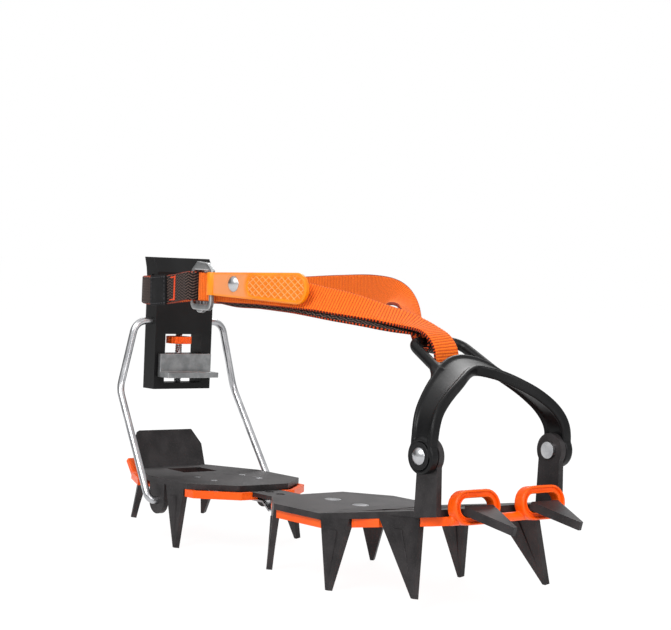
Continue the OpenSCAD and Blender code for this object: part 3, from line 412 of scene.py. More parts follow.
def bright_steel():
    """Bright zinc-plated steel with fine drawn scratches."""
    material, t, shader, at = finish("bright_steel")
    drawn = t.add("ShaderNodeMapping", {"Vector": at, "Scale": (300, 1500, 1500)}).outputs["Vector"]
    scratch = t.noise(drawn, 1.5, 4)
    feed_shader(t, shader, {
        "Base Color": t.cloudy(t.noise(at, 140, 3), colour(176, 177, 180), colour(206, 207, 209)),
        "Metallic": 1.0,
        "Roughness": t.spread(scratch, 0.22, 0.38)})
    bumped(t, shader, scratch, 0.12, 0.00005)
    return material


def clouded(name, scale, tones, edge, edge_wear_and_highlight, rough, grain, values, patches=None):
    """Clouded surface with a fine grain and paler edges, partly worn and partly a painted highlight, which
    patches can break up.
    """
    material, t, shader, at = finish(name)
    cloud = t.noise(at, scale, 4)
    # The edge mask paints the paler edges: partly wear, partly a painted highlight.
    worn_and_highlit = attribute(t, "edge")
    if patches:
        worn_and_highlit = t.times(worn_and_highlit, t.ramp(t.noise(at, patches, 3), 0.3, 0.7))
    feed_shader(t, shader, {
        "Base Color": t.blend(t.times(worn_and_highlit, edge_wear_and_highlight), t.cloudy(cloud, *tones), edge),
        "Roughness": t.spread(cloud, *rough),
        **values})
    bumped(t, shader, t.noise(at, grain[0], 2), *grain[1:])
    return material


DIAMOND_LONG = 4.7
DIAMOND_TALL = 3.3


def diamonds_at(t, along, across):
    """1 on the thin ridges of a diamond grid and 0 between them, from places in millimetres."""
    ridges = []
    for turn in ("ADD", "SUBTRACT"):
        diagonal = t.math(turn, t.math("DIVIDE", along, DIAMOND_LONG), t.math("DIVIDE", across, DIAMOND_TALL))
        ridges.append(t.ramp(t.half_waves(diagonal), 0.34, 0.06))
    return t.math("MAXIMUM", *ridges)


def amber_plastic():
    """Translucent amber moulding: ridges on the grip painted pale as a highlight, the cells between them
    painted deeper as shade, and a milky zone round its rivet.
    """
    material, t, shader, at = finish("amber_plastic")
    cloud = t.noise(at, 80, 3)
    grip = attribute(t, "grip")
    ridge = t.times(diamonds_at(t, attribute(t, "along"), attribute(t, "across_mm")), grip)
    cell = t.times(t.math("SUBTRACT", grip, ridge), 0.55)
    base = t.cloudy(cloud, colour(244, 134, 2), colour(250, 146, 8))
    base = t.blend(attribute(t, "milky"), base, colour(234, 148, 90))
    # Painted shade in the grip's cells, then a painted highlight on its ridges.
    base = t.blend(cell, base, colour(230, 108, 0))
    feed_shader(t, shader, {
        "Base Color": t.blend(t.times(ridge, 0.85), base, colour(255, 184, 116)),
        "Roughness": t.spread(cloud, 0.30, 0.40),
        "Transmission Weight": 0.1,
        "IOR": 1.46,
        "Specular IOR Level": 0.4})
    return material


RIB_PITCH = 1.45
RIB_SLANT = 0.3
TWIST = (72.0, 2.6)
CHEVRON = 2.2
CHEVRON_STRIPES = (32.0, 2.4)
FLECK_PITCH = 1.6


def ribs_at(t, along, across):
    """0 in the grooves and 1 on the ribs of the webbing, which run across it at a slant."""
    return t.half_waves(t.math("ADD", t.math("DIVIDE", along, RIB_PITCH), t.times(across, RIB_SLANT)))


def stripes(t, across, along, rates):
    """Sine stripes that run aslant, by their rates across and along."""
    return t.math("SINE", t.math("ADD", t.times(across, rates[0]), t.times(along, rates[1])))


def webbing():
    """Two-faced webbing: black outside with grey chevrons, orange inside with ribs, flecked edges; the
    grooves between the ribs are painted darker as shade on both faces.
    """
    material, t, shader, at = finish("webbing")
    along = attribute(t, "along")
    across = attribute(t, "across")
    rib = ribs_at(t, along, across)
    twist = stripes(t, across, along, TWIST)
    fuzz = t.noise(at, 2200, 2)
    # Painted shade in the grooves between the ribs, lighter on the crests.
    orange = t.blend(t.ramp(rib, 0.15, 0.85), colour(196, 42, 2), colour(252, 112, 22))
    orange = t.blend(t.times(t.ramp(twist, -0.1, 1.0), 0.5), orange, colour(255, 150, 52))
    chevron = t.ramp(stripes(t, across, t.math("PINGPONG", along, CHEVRON), CHEVRON_STRIPES), 0.2, 0.9)
    black = t.blend(t.times(chevron, 0.85), colour(17, 13, 13), colour(112, 92, 84))
    # Painted shade in the grooves of the black face too.
    black = t.blend(t.ramp(rib, 0.0, 0.35), colour(10, 8, 9), black)
    face = t.blend(attribute(t, "outside"), orange, black)
    tick = t.math("SINE", t.times(along, 2 * math.pi / FLECK_PITCH))
    fleck = t.blend(t.ramp(tick, -0.2, 0.5), colour(26, 15, 12), colour(206, 66, 12))
    border = t.ramp(t.math("ABSOLUTE", across), 0.93, 0.96)
    base = t.blend(border, face, fleck)
    shade = t.times(t.ramp(fuzz, 0.3, 0.75), 0.25)
    feed_shader(t, shader, {
        "Base Color": t.blend(shade, base, colour(40, 14, 6)),
        "Roughness": 0.8,
        "Specular IOR Level": 0.2,
        "Sheen Weight": 0.08,
        "Sheen Roughness": 0.4})
    bumped(t, shader, t.math("ADD", t.times(twist, 0.4), fuzz), 0.5, 0.0002)
    return material


def thread(name, deep, light):
    """Twisted sewing thread."""
    material, t, shader, at = finish(name)
    strand = t.noise(at, 3000, 2)
    feed_shader(t, shader, {
        "Base Color": t.blend(t.ramp(strand, 0.35, 0.65), deep, light),
        "Roughness": 0.7})
    bumped(t, shader, strand, 0.4, 0.0001)
    return material


WEAVE_RATE = 9000.0


def label_cloth():
    """Close-woven black tag."""
    material, t, shader, at = finish("label_cloth")
    axes = t.add("ShaderNodeSeparateXYZ", {"Vector": at}).outputs
    warp, weft = (t.math("SINE", t.times(axes[axis], WEAVE_RATE)) for axis in "XZ")
    weave = t.times(warp, weft)
    cloud = t.ramp(t.noise(at, 160, 4), 0.4, 0.75)
    base = t.blend(t.ramp(weave, -0.8, 0.8), colour(14, 14, 15), colour(26, 26, 28))
    feed_shader(t, shader, {
        "Base Color": t.blend(t.times(cloud, 0.5), base, colour(40, 39, 40)),
        "Roughness": 0.75,
        "Specular IOR Level": 0.2})
    bumped(t, shader, weave, 0.35, 0.0001)
    return material


STEEL = dark_steel()
BRIGHT = bright_steel()
# Satin grey steel of the buckle rings and the claw, a tough matt orange moulding and a satin black one, each
# with paler edges that are partly wear and partly a painted highlight
STAMPED = clouded("stamped_steel", 220, (colour(128, 130, 131), colour(156, 157, 158)), colour(222, 223, 224),
                  0.8, (0.30, 0.46), (1800, 0.15, 0.00006), {"Metallic": 0.9})
ORANGE = clouded("orange_plastic", 45, (colour(240, 82, 0), colour(248, 94, 2)), colour(255, 128, 36),
                 0.5, (0.34, 0.46), (1400, 0.18, 0.00008), {"Specular IOR Level": 0.3}, patches=300)
BLACK = clouded("black_plastic", 60, (colour(13, 13, 14), colour(21, 21, 22)), colour(52, 52, 54),
                0.4, (0.34, 0.46), (1600, 0.2, 0.00008), {"Specular IOR Level": 0.2})
AMBER = amber_plastic()
WEBBING = webbing()
LABEL = label_cloth()
TACK = thread("tack_thread", colour(196, 42, 4), colour(244, 84, 14))
DARK_THREAD = thread("dark_thread", colour(34, 34, 36), colour(74, 74, 78))


# Geometry node trees

def node_group(name, *sizes):
    """New geometry tree with named sizes and a material: the group, its short calls and its input sockets."""
    group = bpy.data.node_groups.new(name, "GeometryNodeTree")
    group.interface.new_socket("Geometry", in_out="INPUT", socket_type="NodeSocketGeometry")
    for label in sizes:
        group.interface.new_socket(label, in_out="INPUT", socket_type="NodeSocketFloat")
    group.interface.new_socket("Material", in_out="INPUT", socket_type="NodeSocketMaterial")
    group.interface.new_socket("Geometry", in_out="OUTPUT", socket_type="NodeSocketGeometry")
    tree = Tree(group)
    start = tree.add("NodeGroupInput")
    return group, tree, start.outputs


def close_group(tree, geometry, material):
    """Ends a tree: instances become real and take their material."""
    real = tree.add("GeometryNodeRealizeInstances", {"Geometry": geometry}).outputs["Geometry"]
    dressed_up = tree.add("GeometryNodeSetMaterial", {"Geometry": real, "Material": material})
    tree.add("NodeGroupOutput", {"Geometry": dressed_up.outputs["Geometry"]})


def run_group(obj, group, values):
    """Runs a tree on an object and makes the result plain mesh."""
    modifier = obj.modifiers.new(group.name, "NODES")
    modifier.node_group = group
    for item in group.interface.items_tree:
        if item.in_out == "INPUT" and item.name in values:
            modifier[item.identifier] = values[item.name]
    return baked(obj)


def named(tree, name):
    node = tree.add("GeometryNodeInputNamedAttribute", {"Name": name}, data_type="FLOAT")
    return node.outputs["Attribute"]


def raise_faces(t, given, share, height):
    """Ends a tree: the points on a piece's marked faces move outwards by a share of the height."""
    lift = t.times(t.times(share, named(t, "face")), height)
    normal = t.add("GeometryNodeInputNormal").outputs[0]
    offset = t.add("ShaderNodeVectorMath", {0: normal, "Scale": lift}, operation="SCALE").outputs[0]
    moved = t.add("GeometryNodeSetPosition", {"Geometry": given["Geometry"], "Offset": offset})
    close_group(t, moved.outputs["Geometry"], given["Material"])


def rib_group():
    """Lifts the faces of a band into slanted ribs, by its along and across attributes."""
    group, t, given = node_group("webbing_ribs", "Rib height")
    raise_faces(t, given, ribs_at(t, named(t, "along"), named(t, "across")), given["Rib height"])
    return group


def stitch_group():
    """Short rounded stitches along the edges of a wire mesh."""
    group, t, given = node_group("stitches", "Stitch length", "Stitch pitch", "Thread radius")
    path = t.add("GeometryNodeMeshToCurve", {"Mesh": given["Geometry"]}).outputs["Curve"]
    places = t.add("GeometryNodeCurveToPoints", {
        "Curve": path, "Length": given["Stitch pitch"]}, mode="LENGTH").outputs
    ball = t.add("GeometryNodeMeshUVSphere", {"Segments": 8, "Rings": 6, "Radius": given["Thread radius"]})
    stretch = t.math("DIVIDE", given["Stitch length"], t.times(given["Thread radius"], 2.0))
    size = t.add("ShaderNodeCombineXYZ", {"X": 1.0, "Y": 1.0, "Z": stretch}).outputs[0]
    placed = t.add("GeometryNodeInstanceOnPoints", {
        "Points": places["Points"], "Instance": ball.outputs["Mesh"],
        "Rotation": places["Rotation"], "Scale": size})
    close_group(t, placed.outputs["Instances"], given["Material"])
    return group


def grip_group():
    """Presses a diamond grid and a raised border into the outer face of the pull tab."""
    group, t, given = node_group("diamond_grip", "Ridge height")
    ridge = t.times(diamonds_at(t, named(t, "along"), named(t, "across_mm")), named(t, "grip"))
    high = t.math("MAXIMUM", t.times(ridge, 0.7), named(t, "rim"))
    raise_faces(t, given, high, given["Ridge height"])
    return group


STITCHES = stitch_group()


# Pieces that keep the CAD shape, with rounded edges, worn and painted with a highlight

SHARP_TURN = 32
FLAT_TURN = 1
SAME_PLACE = 0.004


def mark_edges(mesh):
    """Writes 1 on points that lie only on bevelled faces, which carry the second material."""
    flat = np.zeros(len(mesh.vertices), bool)
    worn_and_highlit = np.zeros(len(mesh.vertices), bool)
    for face in mesh.polygons:
        (worn_and_highlit if face.material_index == 1 else flat)[list(face.vertices)] = True
        face.material_index = 0
    write_values(mesh, {"edge": worn_and_highlit & ~flat})


def weigh_edges(mesh, turn, least):
    """Marks for the bevel the edges sharper than the turn whose two faces are both larger than least."""
    with editing(mesh) as shape:
        weight = shape.edges.layers.float.new("bevel_weight_edge")
        for edge in shape.edges:
            if len(edge.link_faces) == 2 and edge.calc_face_angle(0.0) > math.radians(turn):
                if min(face.calc_area() for face in edge.link_faces) > least * MM * MM:
                    edge[weight] = 1.0


def rounded(obj, edge, turn, least=0.0):
    """Bevels the edges that are sharper than the turn, and marks them for wear and a painted highlight."""
    obj.data.materials.append(obj.data.materials[0])
    weigh_edges(obj.data, turn, least)
    bevel = obj.modifiers.new("edges", "BEVEL")
    bevel.width = edge * MM
    bevel.segments = 2
    bevel.limit_method = "WEIGHT"
    bevel.use_clamp_overlap = True
    bevel.material = 1
    baked(obj)
    mark_edges(obj.data)
    obj.data.materials.pop(index=1)
    smooth(obj.data, 38)
    flat = obj.modifiers.new("flat_faces", "WEIGHTED_NORMAL")
    flat.keep_sharp = True
    return baked(obj)


def merged_copy(node):
    """Copy of a CAD node's mesh with its loose triangles joined into flat faces."""
    mesh = frame["nodes"][node].data.copy()
    with editing(mesh) as shape:
        bmesh.ops.remove_doubles(shape, verts=shape.verts, dist=SAME_PLACE * MM)
        bmesh.ops.dissolve_limit(shape, angle_limit=math.radians(FLAT_TURN),
                                 verts=shape.verts, edges=shape.edges)
    return mesh


# CAD node, finish slot, material, width of the rounded edges, and the least area of the faces beside them
PLAIN_PIECES = (
    ("front_frame", "steel", STEEL, 0.75, 14),
    ("rear_frame", "steel", STEEL, 0.75, 14),
    ("front_antiball", "orange_plastic", ORANGE, 0.8, 9),
    ("rear_antiball", "orange_plastic", ORANGE, 0.8, 9),
    ("linking_bar", "steel", STEEL, 0.3),
    ("bar_guide", "steel", STEEL, 0.3),
    ("bar_nuts", "bright_steel", BRIGHT, 0.3),
    ("bar_screws", "bright_steel", BRIGHT, 0.3),
    ("guide_rivets", "bright_steel", BRIGHT, 0.25),
    ("latch_rivet", "bright_steel", BRIGHT, 0.25),
    ("basket_rivets", "bright_steel", BRIGHT, 0.2),
    ("basket_washers", "black_plastic", BLACK, 0.25),
    ("heel_lever", "black_plastic", BLACK, 0.9),
    ("heel_claw", "bright_steel", STAMPED, 0.5),
    ("thumbwheel", "orange_plastic", ORANGE, 0.35),
    ("tab_rivet", "bright_steel", BRIGHT, 0.2),
)


def plain_pieces():
    for node, slot, material, edge, *least in PLAIN_PIECES:
        obj = object_from(node + "_finish", merged_copy(node), material)
        place(rounded(obj, edge, SHARP_TURN, *least), slot, body_of(node), node)


# Toe basket

HINGE = point(118.6, 0, 70.5)
CROWN = HINGE + point(-19, 0, 39)
RING_RISE = math.radians(20.5)
RING_BACK = point(-math.cos(RING_RISE), 0, math.sin(RING_RISE))
RING_UP = point(math.sin(RING_RISE), 0, math.cos(RING_RISE))
RING_BAR = CROWN + 25.3 * RING_BACK
RING_HALF = point(0, 15, 0)
RING_BEND = 7
RING_ROD_R = 2.55
RING_ROOT_Y = 17.5
RING_ROOT_INSET = 1.6
ARM_Y = 41.7
ARM_W = 13
ARM = [
    (HINGE + point(0, ARM_Y, 0), (-1, 0, 0), ARM_W),
    (HINGE + point(0.2, ARM_Y, 7.5), (-1, 0, 0), ARM_W),
    (HINGE + point(0.2, ARM_Y - 0.3, 10.5), (-1, 0, 0), ARM_W),
    (HINGE + point(-2, ARM_Y - 3.4, 17.5), (-1, 0, 0.05), ARM_W),
    (HINGE + point(-5.5, ARM_Y - 11, 25), (-1, 0, 0.12), ARM_W + 1.25),
    (HINGE + point(-10.5, ARM_Y - 22, 32), (-1, 0, 0.22), ARM_W + 2.5),
    (CROWN + point(2.5, 8, -1.4), RING_BACK, ARM_W + 1.25)]
MIRROR_Y = point(1, -1, 1)
ARMS = ARM + [(CROWN, RING_BACK, ARM_W)] + [(p * MIRROR_Y, side, width) for p, side, width in reversed(ARM)]
ROUTE_EASE = 25
TWIST_EASE = 80
BOSS_IN = 2
BOSS = [(0.01, 0), (7.6, 0), (8.2, 0.5), (8.2, 3.9), (7.7, 4.7), (6.9, 4.7), (6.5, 4.0), (0.01, 4.0)]
# Fillets where the ring leaves an arm: first and last place on Y along the arm, and reach along the ring
FILLETS = ((27, 18, 11), (5, 16.5, 8.5))
FILLET_COUNT = 9
FILLET_R = 1.9
FILLET_LEAD = point(0.3, 0.2, 0.9)


def arm_outline(width):
    """Cross-section of an arm: flat faces between a raised bead along each edge."""
    half = width / 2 + 0.3
    quarter = [(half, 1.9), (half - 0.5, 2.65), (half - 1.8, 2.65), (half - 2.5, 1.6)]
    upper = quarter + [(-u, v) for u, v in reversed(quarter)]
    return upper + [(-u, -v) for u, v in upper]


def remeshed(obj, voxel, passes):
    """Melts joined solids into one moulding with small fillets."""
    remesh = obj.modifiers.new("melt", "REMESH")
    remesh.mode = "VOXEL"
    remesh.voxel_size = voxel * MM
    ease = obj.modifiers.new("ease", "SMOOTH")
    ease.factor = 0.5
    ease.iterations = passes
    baked(obj)
    obj.data.shade_smooth()


def fillet_bars(first, second):
    """Bars from each place of one row to a place of the other, which fill the corner between two edges."""
    routes = [filled_in(np.array([a, b]), 1.5) for a, b in zip(first, second)]
    return [mesh_from("fillet", *round_bar(route, FILLET_R, FILLET_LEAD, 12)) for route in routes]


def eased(rows, passes):
    """The same rows with their bends eased, the two ends held."""
    for _ in range(passes):
        rows[1:-1] = (rows[:-2] + 2 * rows[1:-1] + rows[2:]) / 4
    return rows


def nearest_y(rows, y):
    return rows[np.argmin(np.abs(rows[:, 1] - y))]


def toe_basket():
    curve, side, width = flowing(ARMS, 1.0)
    curve, side, width = eased(curve, ROUTE_EASE), eased(side, TWIST_EASE), eased(width, TWIST_EASE)
    across, normal = frames_along(curve, side)
    rings = [[p + a * u + n * v for u, v in arm_outline(w)]
             for p, a, n, w in zip(curve, across, normal, width)]
    parts = [mesh_from("arms", *skin(rings))]
    rear = curve + across * (width / 2 - RING_ROOT_INSET)[:, None]
    roots = {s: nearest_y(rear, s * RING_ROOT_Y) for s in SIDES}
    route = bent([roots[1], RING_BAR + RING_HALF, RING_BAR - RING_HALF, roots[-1]], [RING_BEND, RING_BEND])
    parts.append(mesh_from("ring", *round_bar(filled_in(route, 1.0), RING_ROD_R, RING_UP)))
    for s in SIDES:
        centre = HINGE + point(0, s * (ARM_Y - BOSS_IN), 0)
        parts.append(mesh_from("boss", *lathed(BOSS, centre, s * LEFT)))
        bar_way = unit(RING_BAR + s * RING_HALF - roots[s])
        for first, last, reach in FILLETS:
            edge = [nearest_y(rear, s * y) for y in np.linspace(first, last, FILLET_COUNT)]
            bar = [roots[s] + bar_way * d for d in np.linspace(1, reach, FILLET_COUNT)]
            parts += fillet_bars(bar, edge)
    obj = object_from("toe_basket_moulding", joined("toe_basket_moulding", *parts), BLACK)
    remeshed(obj, 0.42, 6)
    place(obj, "black_plastic", "basket", "toe_basket")


# Front loops, moulded round the front points

PLATE_Z = 31.5
TOE_BEND_X = 42
TOE_RISE = math.radians(8.6)
NOSE_X = 126
RIM_Z = 27.4
LOOP_Y = 20.5
LOOP_RUN = 6.0
LOOP_R = 5.9
LOOP_RISE = 7.5
# Cross-section of a loop with its double lip: distance outside its opening, and distance before the nose
LIP = [(-1.75, 2.8), (-1.75, 7.2), (-1.55, 7.9), (-1.1, 8.0), (-0.8, 7.4), (-0.75, 5.9), (0.5, 5.9),
       (0.6, 7.8), (0.95, 8.5), (1.6, 8.4), (1.95, 7.6), (1.8, 2.8)]
STRIP_OUT = 3.6
STRIP_UP = 2
STRIP_HW = 33.5
STRIP_R = 2.1


def on_toe(x, y, z):
    """Tilts a place about the bend line, into the rising toe."""
    x, z = x - TOE_BEND_X, z - PLATE_Z
    c, s = math.cos(TOE_RISE), math.sin(TOE_RISE)
    return point(TOE_BEND_X + x * c - z * s, y, PLATE_Z + x * s + z * c)


def stadium(run, radius, count=14):
    """Points and outward directions round a stadium."""
    out = []
    for s in (1, -1):
        for a in np.linspace(-math.pi / 2, math.pi / 2, count):
            way = (s * math.cos(a), s * math.sin(a))
            out.append(((s * run + radius * way[0], radius * way[1]), way))
    return out


def front_loops():
    parts = []
    for s in SIDES:
        rings = []
        for (y, z), (wy, wz) in stadium(LOOP_RUN, LOOP_R):
            rings.append([on_toe(NOSE_X + d, s * LOOP_Y + y + wy * r, RIM_Z + LOOP_RISE + z + wz * r)
                          for r, d in LIP])
        parts.append(mesh_from("loop", *skin(rings, wrap=True)))
    strip = [on_toe(NOSE_X + STRIP_OUT, y, RIM_Z + STRIP_UP) for y in np.linspace(-STRIP_HW, STRIP_HW, 40)]
    parts.append(mesh_from("strip", *round_bar(np.array(strip), STRIP_R, UP)))
    obj = object_from("front_loops", joined("front_loops", *parts), ORANGE)
    remeshed(obj, 0.28, 3)
    place(obj, "orange_plastic", "front", "front_antiball")


# Heel bail, of round wire, and finger ribs moulded across the head of the lever

CROSS = point(-142, 0, 117)
LEVER_HW = 19
BAIL_R = 2.0
BAIL_HALF = [point(-102, 31, 22), point(-102, 42, 22), point(-141, 38.5, 79), point(-142, 29, 117)]
BAIL_BENDS = [4, 14, 8]
FINGER_DROPS = np.arange(2.4, 9, 2.2)
FINGER_R = 0.8
FINGER_SUNK = 0.2
FINGER_INSET = 3


def heel_bail():
    corners = BAIL_HALF + [p * MIRROR_Y for p in reversed(BAIL_HALF)]
    route = filled_in(bent(corners, BAIL_BENDS + BAIL_BENDS[::-1], 14), 2.5)
    mesh = mesh_from("heel_bail_wire", *round_bar(route, BAIL_R, point(1, 0, 0)))
    smooth(mesh, 50)
    place(object_from("heel_bail_wire", mesh, BRIGHT), "bright_steel", "bail", "heel_bail")


def lever_ribs():
    low, high = (np.array(corner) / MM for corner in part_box("heel_lever"))
    ribs = []
    for drop in FINGER_DROPS:
        ends = [point(low[0] + FINGER_SUNK, y, high[2] - drop)
                for y in (low[1] + FINGER_INSET, high[1] - FINGER_INSET)]
        ribs.append(mesh_from("rib", *round_bar(filled_in(np.array(ends), 2), FINGER_R, UP, 16)))
    mesh = joined("lever_finger_ribs", *ribs)
    smooth(mesh, 50)
    place(object_from("lever_finger_ribs", mesh, BLACK), "black_plastic", "lever")


# Strap: one length of webbing, from its sewn end round the rings, the heel, the far side, the basket and back

STRAP_W = 15
STRAP_T = 1.5
STRAP_Z = 135
WRAP_R = 2.5
BAR_WRAP_R = 3.7
BUCKLE = point(-61.5, -42.2, 139)
INNER_LEN = 7.2
INNER_TURN = math.radians(8)
INNER_BAR = swung(BUCKLE, -INNER_TURN, INNER_LEN, 0, 0)
OUTER_LEN = 19.5
OUTER_TURN = math.radians(6.5)
OUTER_REAR = point(BUCKLE[0], -45.4, BUCKLE[2])


def upright(rows):
    """Stations where the width of the strap stands upright."""
    return [(point(*r), UP, STRAP_W) for r in rows]


def sloped(rows):
    """Stations that each give their own direction of the width."""
    return [(point(*r), point(*side), STRAP_W) for r, side in rows]


def wrapped(bar, start, end, count):
    """Places round an upright bar, by angle in degrees."""
    angles = np.radians(np.linspace(start, end, count + 1))
    return [bar + WRAP_R * point(math.cos(a), math.sin(a), 0) for a in angles]


ENTRY = [(4.5, 8), (0.6, 3.5), (0, 1.4), (0, -2)]
SEWN = upright([(-98, -42.3, 135.3), (-88, -42.8, 136.2), (-80, -42.8, 137), (-69, -40.3, 138.4)]
               + wrapped(BUCKLE, 90, 0, 3) + wrapped(OUTER_REAR, 0, -90, 3)
               + [(-69, -47, 138.4), (-80, -45, 137), (-88, -44.8, 136.2), (-98, -44.3, 135.3)])
HEEL = upright([(-112, -41, 134.9), (-127, -34, 134.9)]
               + [(CROSS[0] + x, -LEVER_HW - y, STRAP_Z) for x, y in ENTRY]
               + [(CROSS[0] + x, LEVER_HW + y, STRAP_Z) for x, y in reversed(ENTRY)]
               + [(-127, 34, 135.3), (-112, 40, 136)])
FAR = upright([(-84, 43, 138), (-50, 42, 140), (-15, 37.5, 141)])
FAR_SLOPE = sloped([((8, 30.5, 139.5), (0, 0.4, 0.9)), ((24, 23.5, 136), (0, 0.95, 0.3)),
                    ((37, 17, 131.5), (0, 0.95, -0.3)), ((51, 10.5, 124.5), (0, 0.9, -0.4)),
                    (RING_BAR + point(-7, 3.8, -BAR_WRAP_R - 1), (0.05, 1, -0.1)),
                    (RING_BAR + point(-2.6, 1.8, -BAR_WRAP_R - 0.15), LEFT)])
BIGHT = [(RING_BAR + point(BAR_WRAP_R * math.cos(a), 1 - k / 3, BAR_WRAP_R * math.sin(a)), LEFT, STRAP_W)
         for k, a in enumerate(np.radians(np.linspace(-90, 90, 7)))]
NEAR_SLOPE = sloped([(RING_BAR + point(-2.6, -1.6, BAR_WRAP_R + 0.6), LEFT),
                     (RING_BAR + point(-7.5, -6.5, BAR_WRAP_R + 2.6), (-0.1, 1, 0.12)),
                     ((57.3, -19.4, 128.2), (-0.1, 0.9, 0.45)), ((40.3, -29.6, 131.7), (-0.1, 0.7, 0.7)),
                     ((15.3, -37.1, 135.5), (-0.1, 0.4, 0.9))])
NEAR = upright([(-10, -39.6, 137), (-30, -40.5, 137), (-44, -40.6, 138.2)] + wrapped(INNER_BAR, 90, 270, 6)
               + [(-48, -44.7, 139), (-42, -43.6, 139), (-30, -42.9, 139)])
TAIL = sloped([((-10, -41.7, 139.1), (0, 0.06, 1)), ((15, -38, 137.9), (-0.1, 0.4, 0.9)),
               ((30, -33.6, 136.2), (-0.1, 0.65, 0.75)), ((40, -29, 134.8), (-0.1, 0.7, 0.7)),
               ((57, -18, 131), (-0.1, 0.92, 0.4)), ((68, -9.5, 127.8), (-0.1, 0.97, 0.25)),
               ((77, -5.4, 124.6), LEFT), ((84, -4.4, 121), LEFT), ((88, -4, 116.2), LEFT),
               ((89.3, -4, 111), LEFT), ((89.8, -4, 105.5), LEFT)])
STRAP = SEWN + HEEL + FAR + FAR_SLOPE + BIGHT + NEAR_SLOPE + NEAR + TAIL
SEWN_BEND = ("rear", "bail", -66, -98)
# Stretches of the strap: name, place where it is cut from the next one, its two bodies, and where on X it
# passes from the first body to the second
STRETCHES = (
    ("strap_sewn_loop", (-98, -44.3, 135.3), *SEWN_BEND),
    ("strap_heel", (-98, 42, 137), "bail", "lever", -104, -136),
    ("strap_far_heel", (-50, 42, 140), "bail", "rear", -98, -58),
    ("strap_far", (-15, 37.5, 141), "rear", "front", -50, -17),
    ("strap_bight", (29.5, -33.7, 133.6), "front", "basket", 30, 74),
    ("strap_near", (29.5, -33.8, 136.3), "rear", "front", -12, 29),
    ("strap_tail", None, "front", "basket", 30, 74),
)
WEB_STEP = 0.26
WEB_COLUMNS = 12
WEB_RIB = 0.2


def band_outline():
    """Cross-section of the webbing: (across, through, face), with face 1 on its flats and 0 on its edges."""
    w, t = STRAP_W / 2, STRAP_T / 2
    flat = [(u, t, 1.0) for u in np.linspace(w - 0.7, 0.7 - w, WEB_COLUMNS)]
    edge = [(-w + 0.2, t * 0.75, 0.0), (-w, 0.0, 0.0), (-w + 0.2, -t * 0.75, 0.0)]
    one_side = flat + edge
    return one_side + [(-u, -v, f) for u, v, f in one_side]


def webbing_piece(name, curve, across, normal, along):
    """One stretch of the strap, with its places along and across it and its two faces marked."""
    outline = band_outline()
    mesh = mesh_from(name, *swept([(u, v) for u, v, f in outline], curve, across, normal))
    rows = len(curve)
    write_values(mesh, {
        "along": np.repeat(along, len(outline)),
        "across": np.tile([u / (STRAP_W / 2) for u, v, f in outline], rows),
        "face": np.tile([f for u, v, f in outline], rows),
        "outside": np.tile([1.0 if v < 0 else 0.0 for u, v, f in outline], rows)})
    return object_from(name, mesh, WEBBING)


def nearest_row(curve, spot):
    return int(np.argmin(np.linalg.norm(curve - point(*spot), axis=1)))


def ankle_strap():
    curve, side, _ = flowing(STRAP, WEB_STEP)
    across, normal = frames_along(curve, side)
    along = lengths_along(curve)
    ribs = rib_group()
    first = 0
    for name, cut, *bend in STRETCHES:
        last = nearest_row(curve, cut) if cut else len(curve) - 1
        part = slice(first, last + 1)
        obj = webbing_piece(name, curve[part], across[part], normal[part], along[part])
        run_group(obj, ribs, {"Rib height": WEB_RIB * MM, "Material": WEBBING})
        smooth(obj.data, 60)
        place_soft(obj, "webbing", *bend, "ankle_strap")
        first = last


# Buckle rings, stamped from plate: angular at the top, rounded below

RING_T = 2.3
RING_EDGE = 0.55
RING_SHARP_TURN = 25
RING_CORNER_R = 4
RING_SHOULDER_Z = 8.6
HOLE_CORNER_R = 1.7
HOLE_INSET = 2.7
HOLE_LIFT = 0.7


def arc(cx, cz, radius, start, end, count=7):
    return [(cx + radius * math.cos(a), cz + radius * math.sin(a))
            for a in np.radians(np.linspace(start, end, count))]


def ring_plate(name, pivot, angle, length, crest, hang):
    """Flat ring standing on its rear bar and turned about it; crest is the outline of its top."""
    outer = (arc(2.6, -hang, RING_CORNER_R, 180, 270) + arc(length - 2.8, -hang, RING_CORNER_R, 270, 360)
             + [(length + 1.2, RING_SHOULDER_Z)] + crest + [(-1.4, RING_SHOULDER_Z)])
    low = HOLE_LIFT - hang
    inner = (arc(HOLE_INSET, low, HOLE_CORNER_R, 180, 270)
             + arc(length - HOLE_INSET, low, HOLE_CORNER_R, 270, 360)
             + [(length - 1.2, 7.4), (length - 1.9, 8.3), (1.9, 8.3), (1.2, 7.4)])
    half = RING_T / 2
    rings = []
    for (xo, zo), (xi, zi) in zip(outer, inner):
        corners = ((xo, -half, zo), (xo, half, zo), (xi, half, zi), (xi, -half, zi))
        rings.append([swung(pivot, -angle, *corner) for corner in corners])
    mesh = mesh_from(name, *skin(rings, wrap=True))
    return rounded(object_from(name, mesh, STAMPED), RING_EDGE, RING_SHARP_TURN)


def buckle_rings():
    inner = ring_plate("ring_inner_plate", BUCKLE, INNER_TURN, INNER_LEN, [(6.2, 12.4), (1.5, 12.4)], 9.6)
    place(inner, "bright_steel", "rear", "ring_inner")
    outer = ring_plate("ring_outer_plate", OUTER_REAR, OUTER_TURN, OUTER_LEN, [(15.5, 12.2), (4.5, 13)], 8)
    place(outer, "bright_steel", "outer_ring", "ring_outer")


# Pull tab on the outer ring, with a grip panel

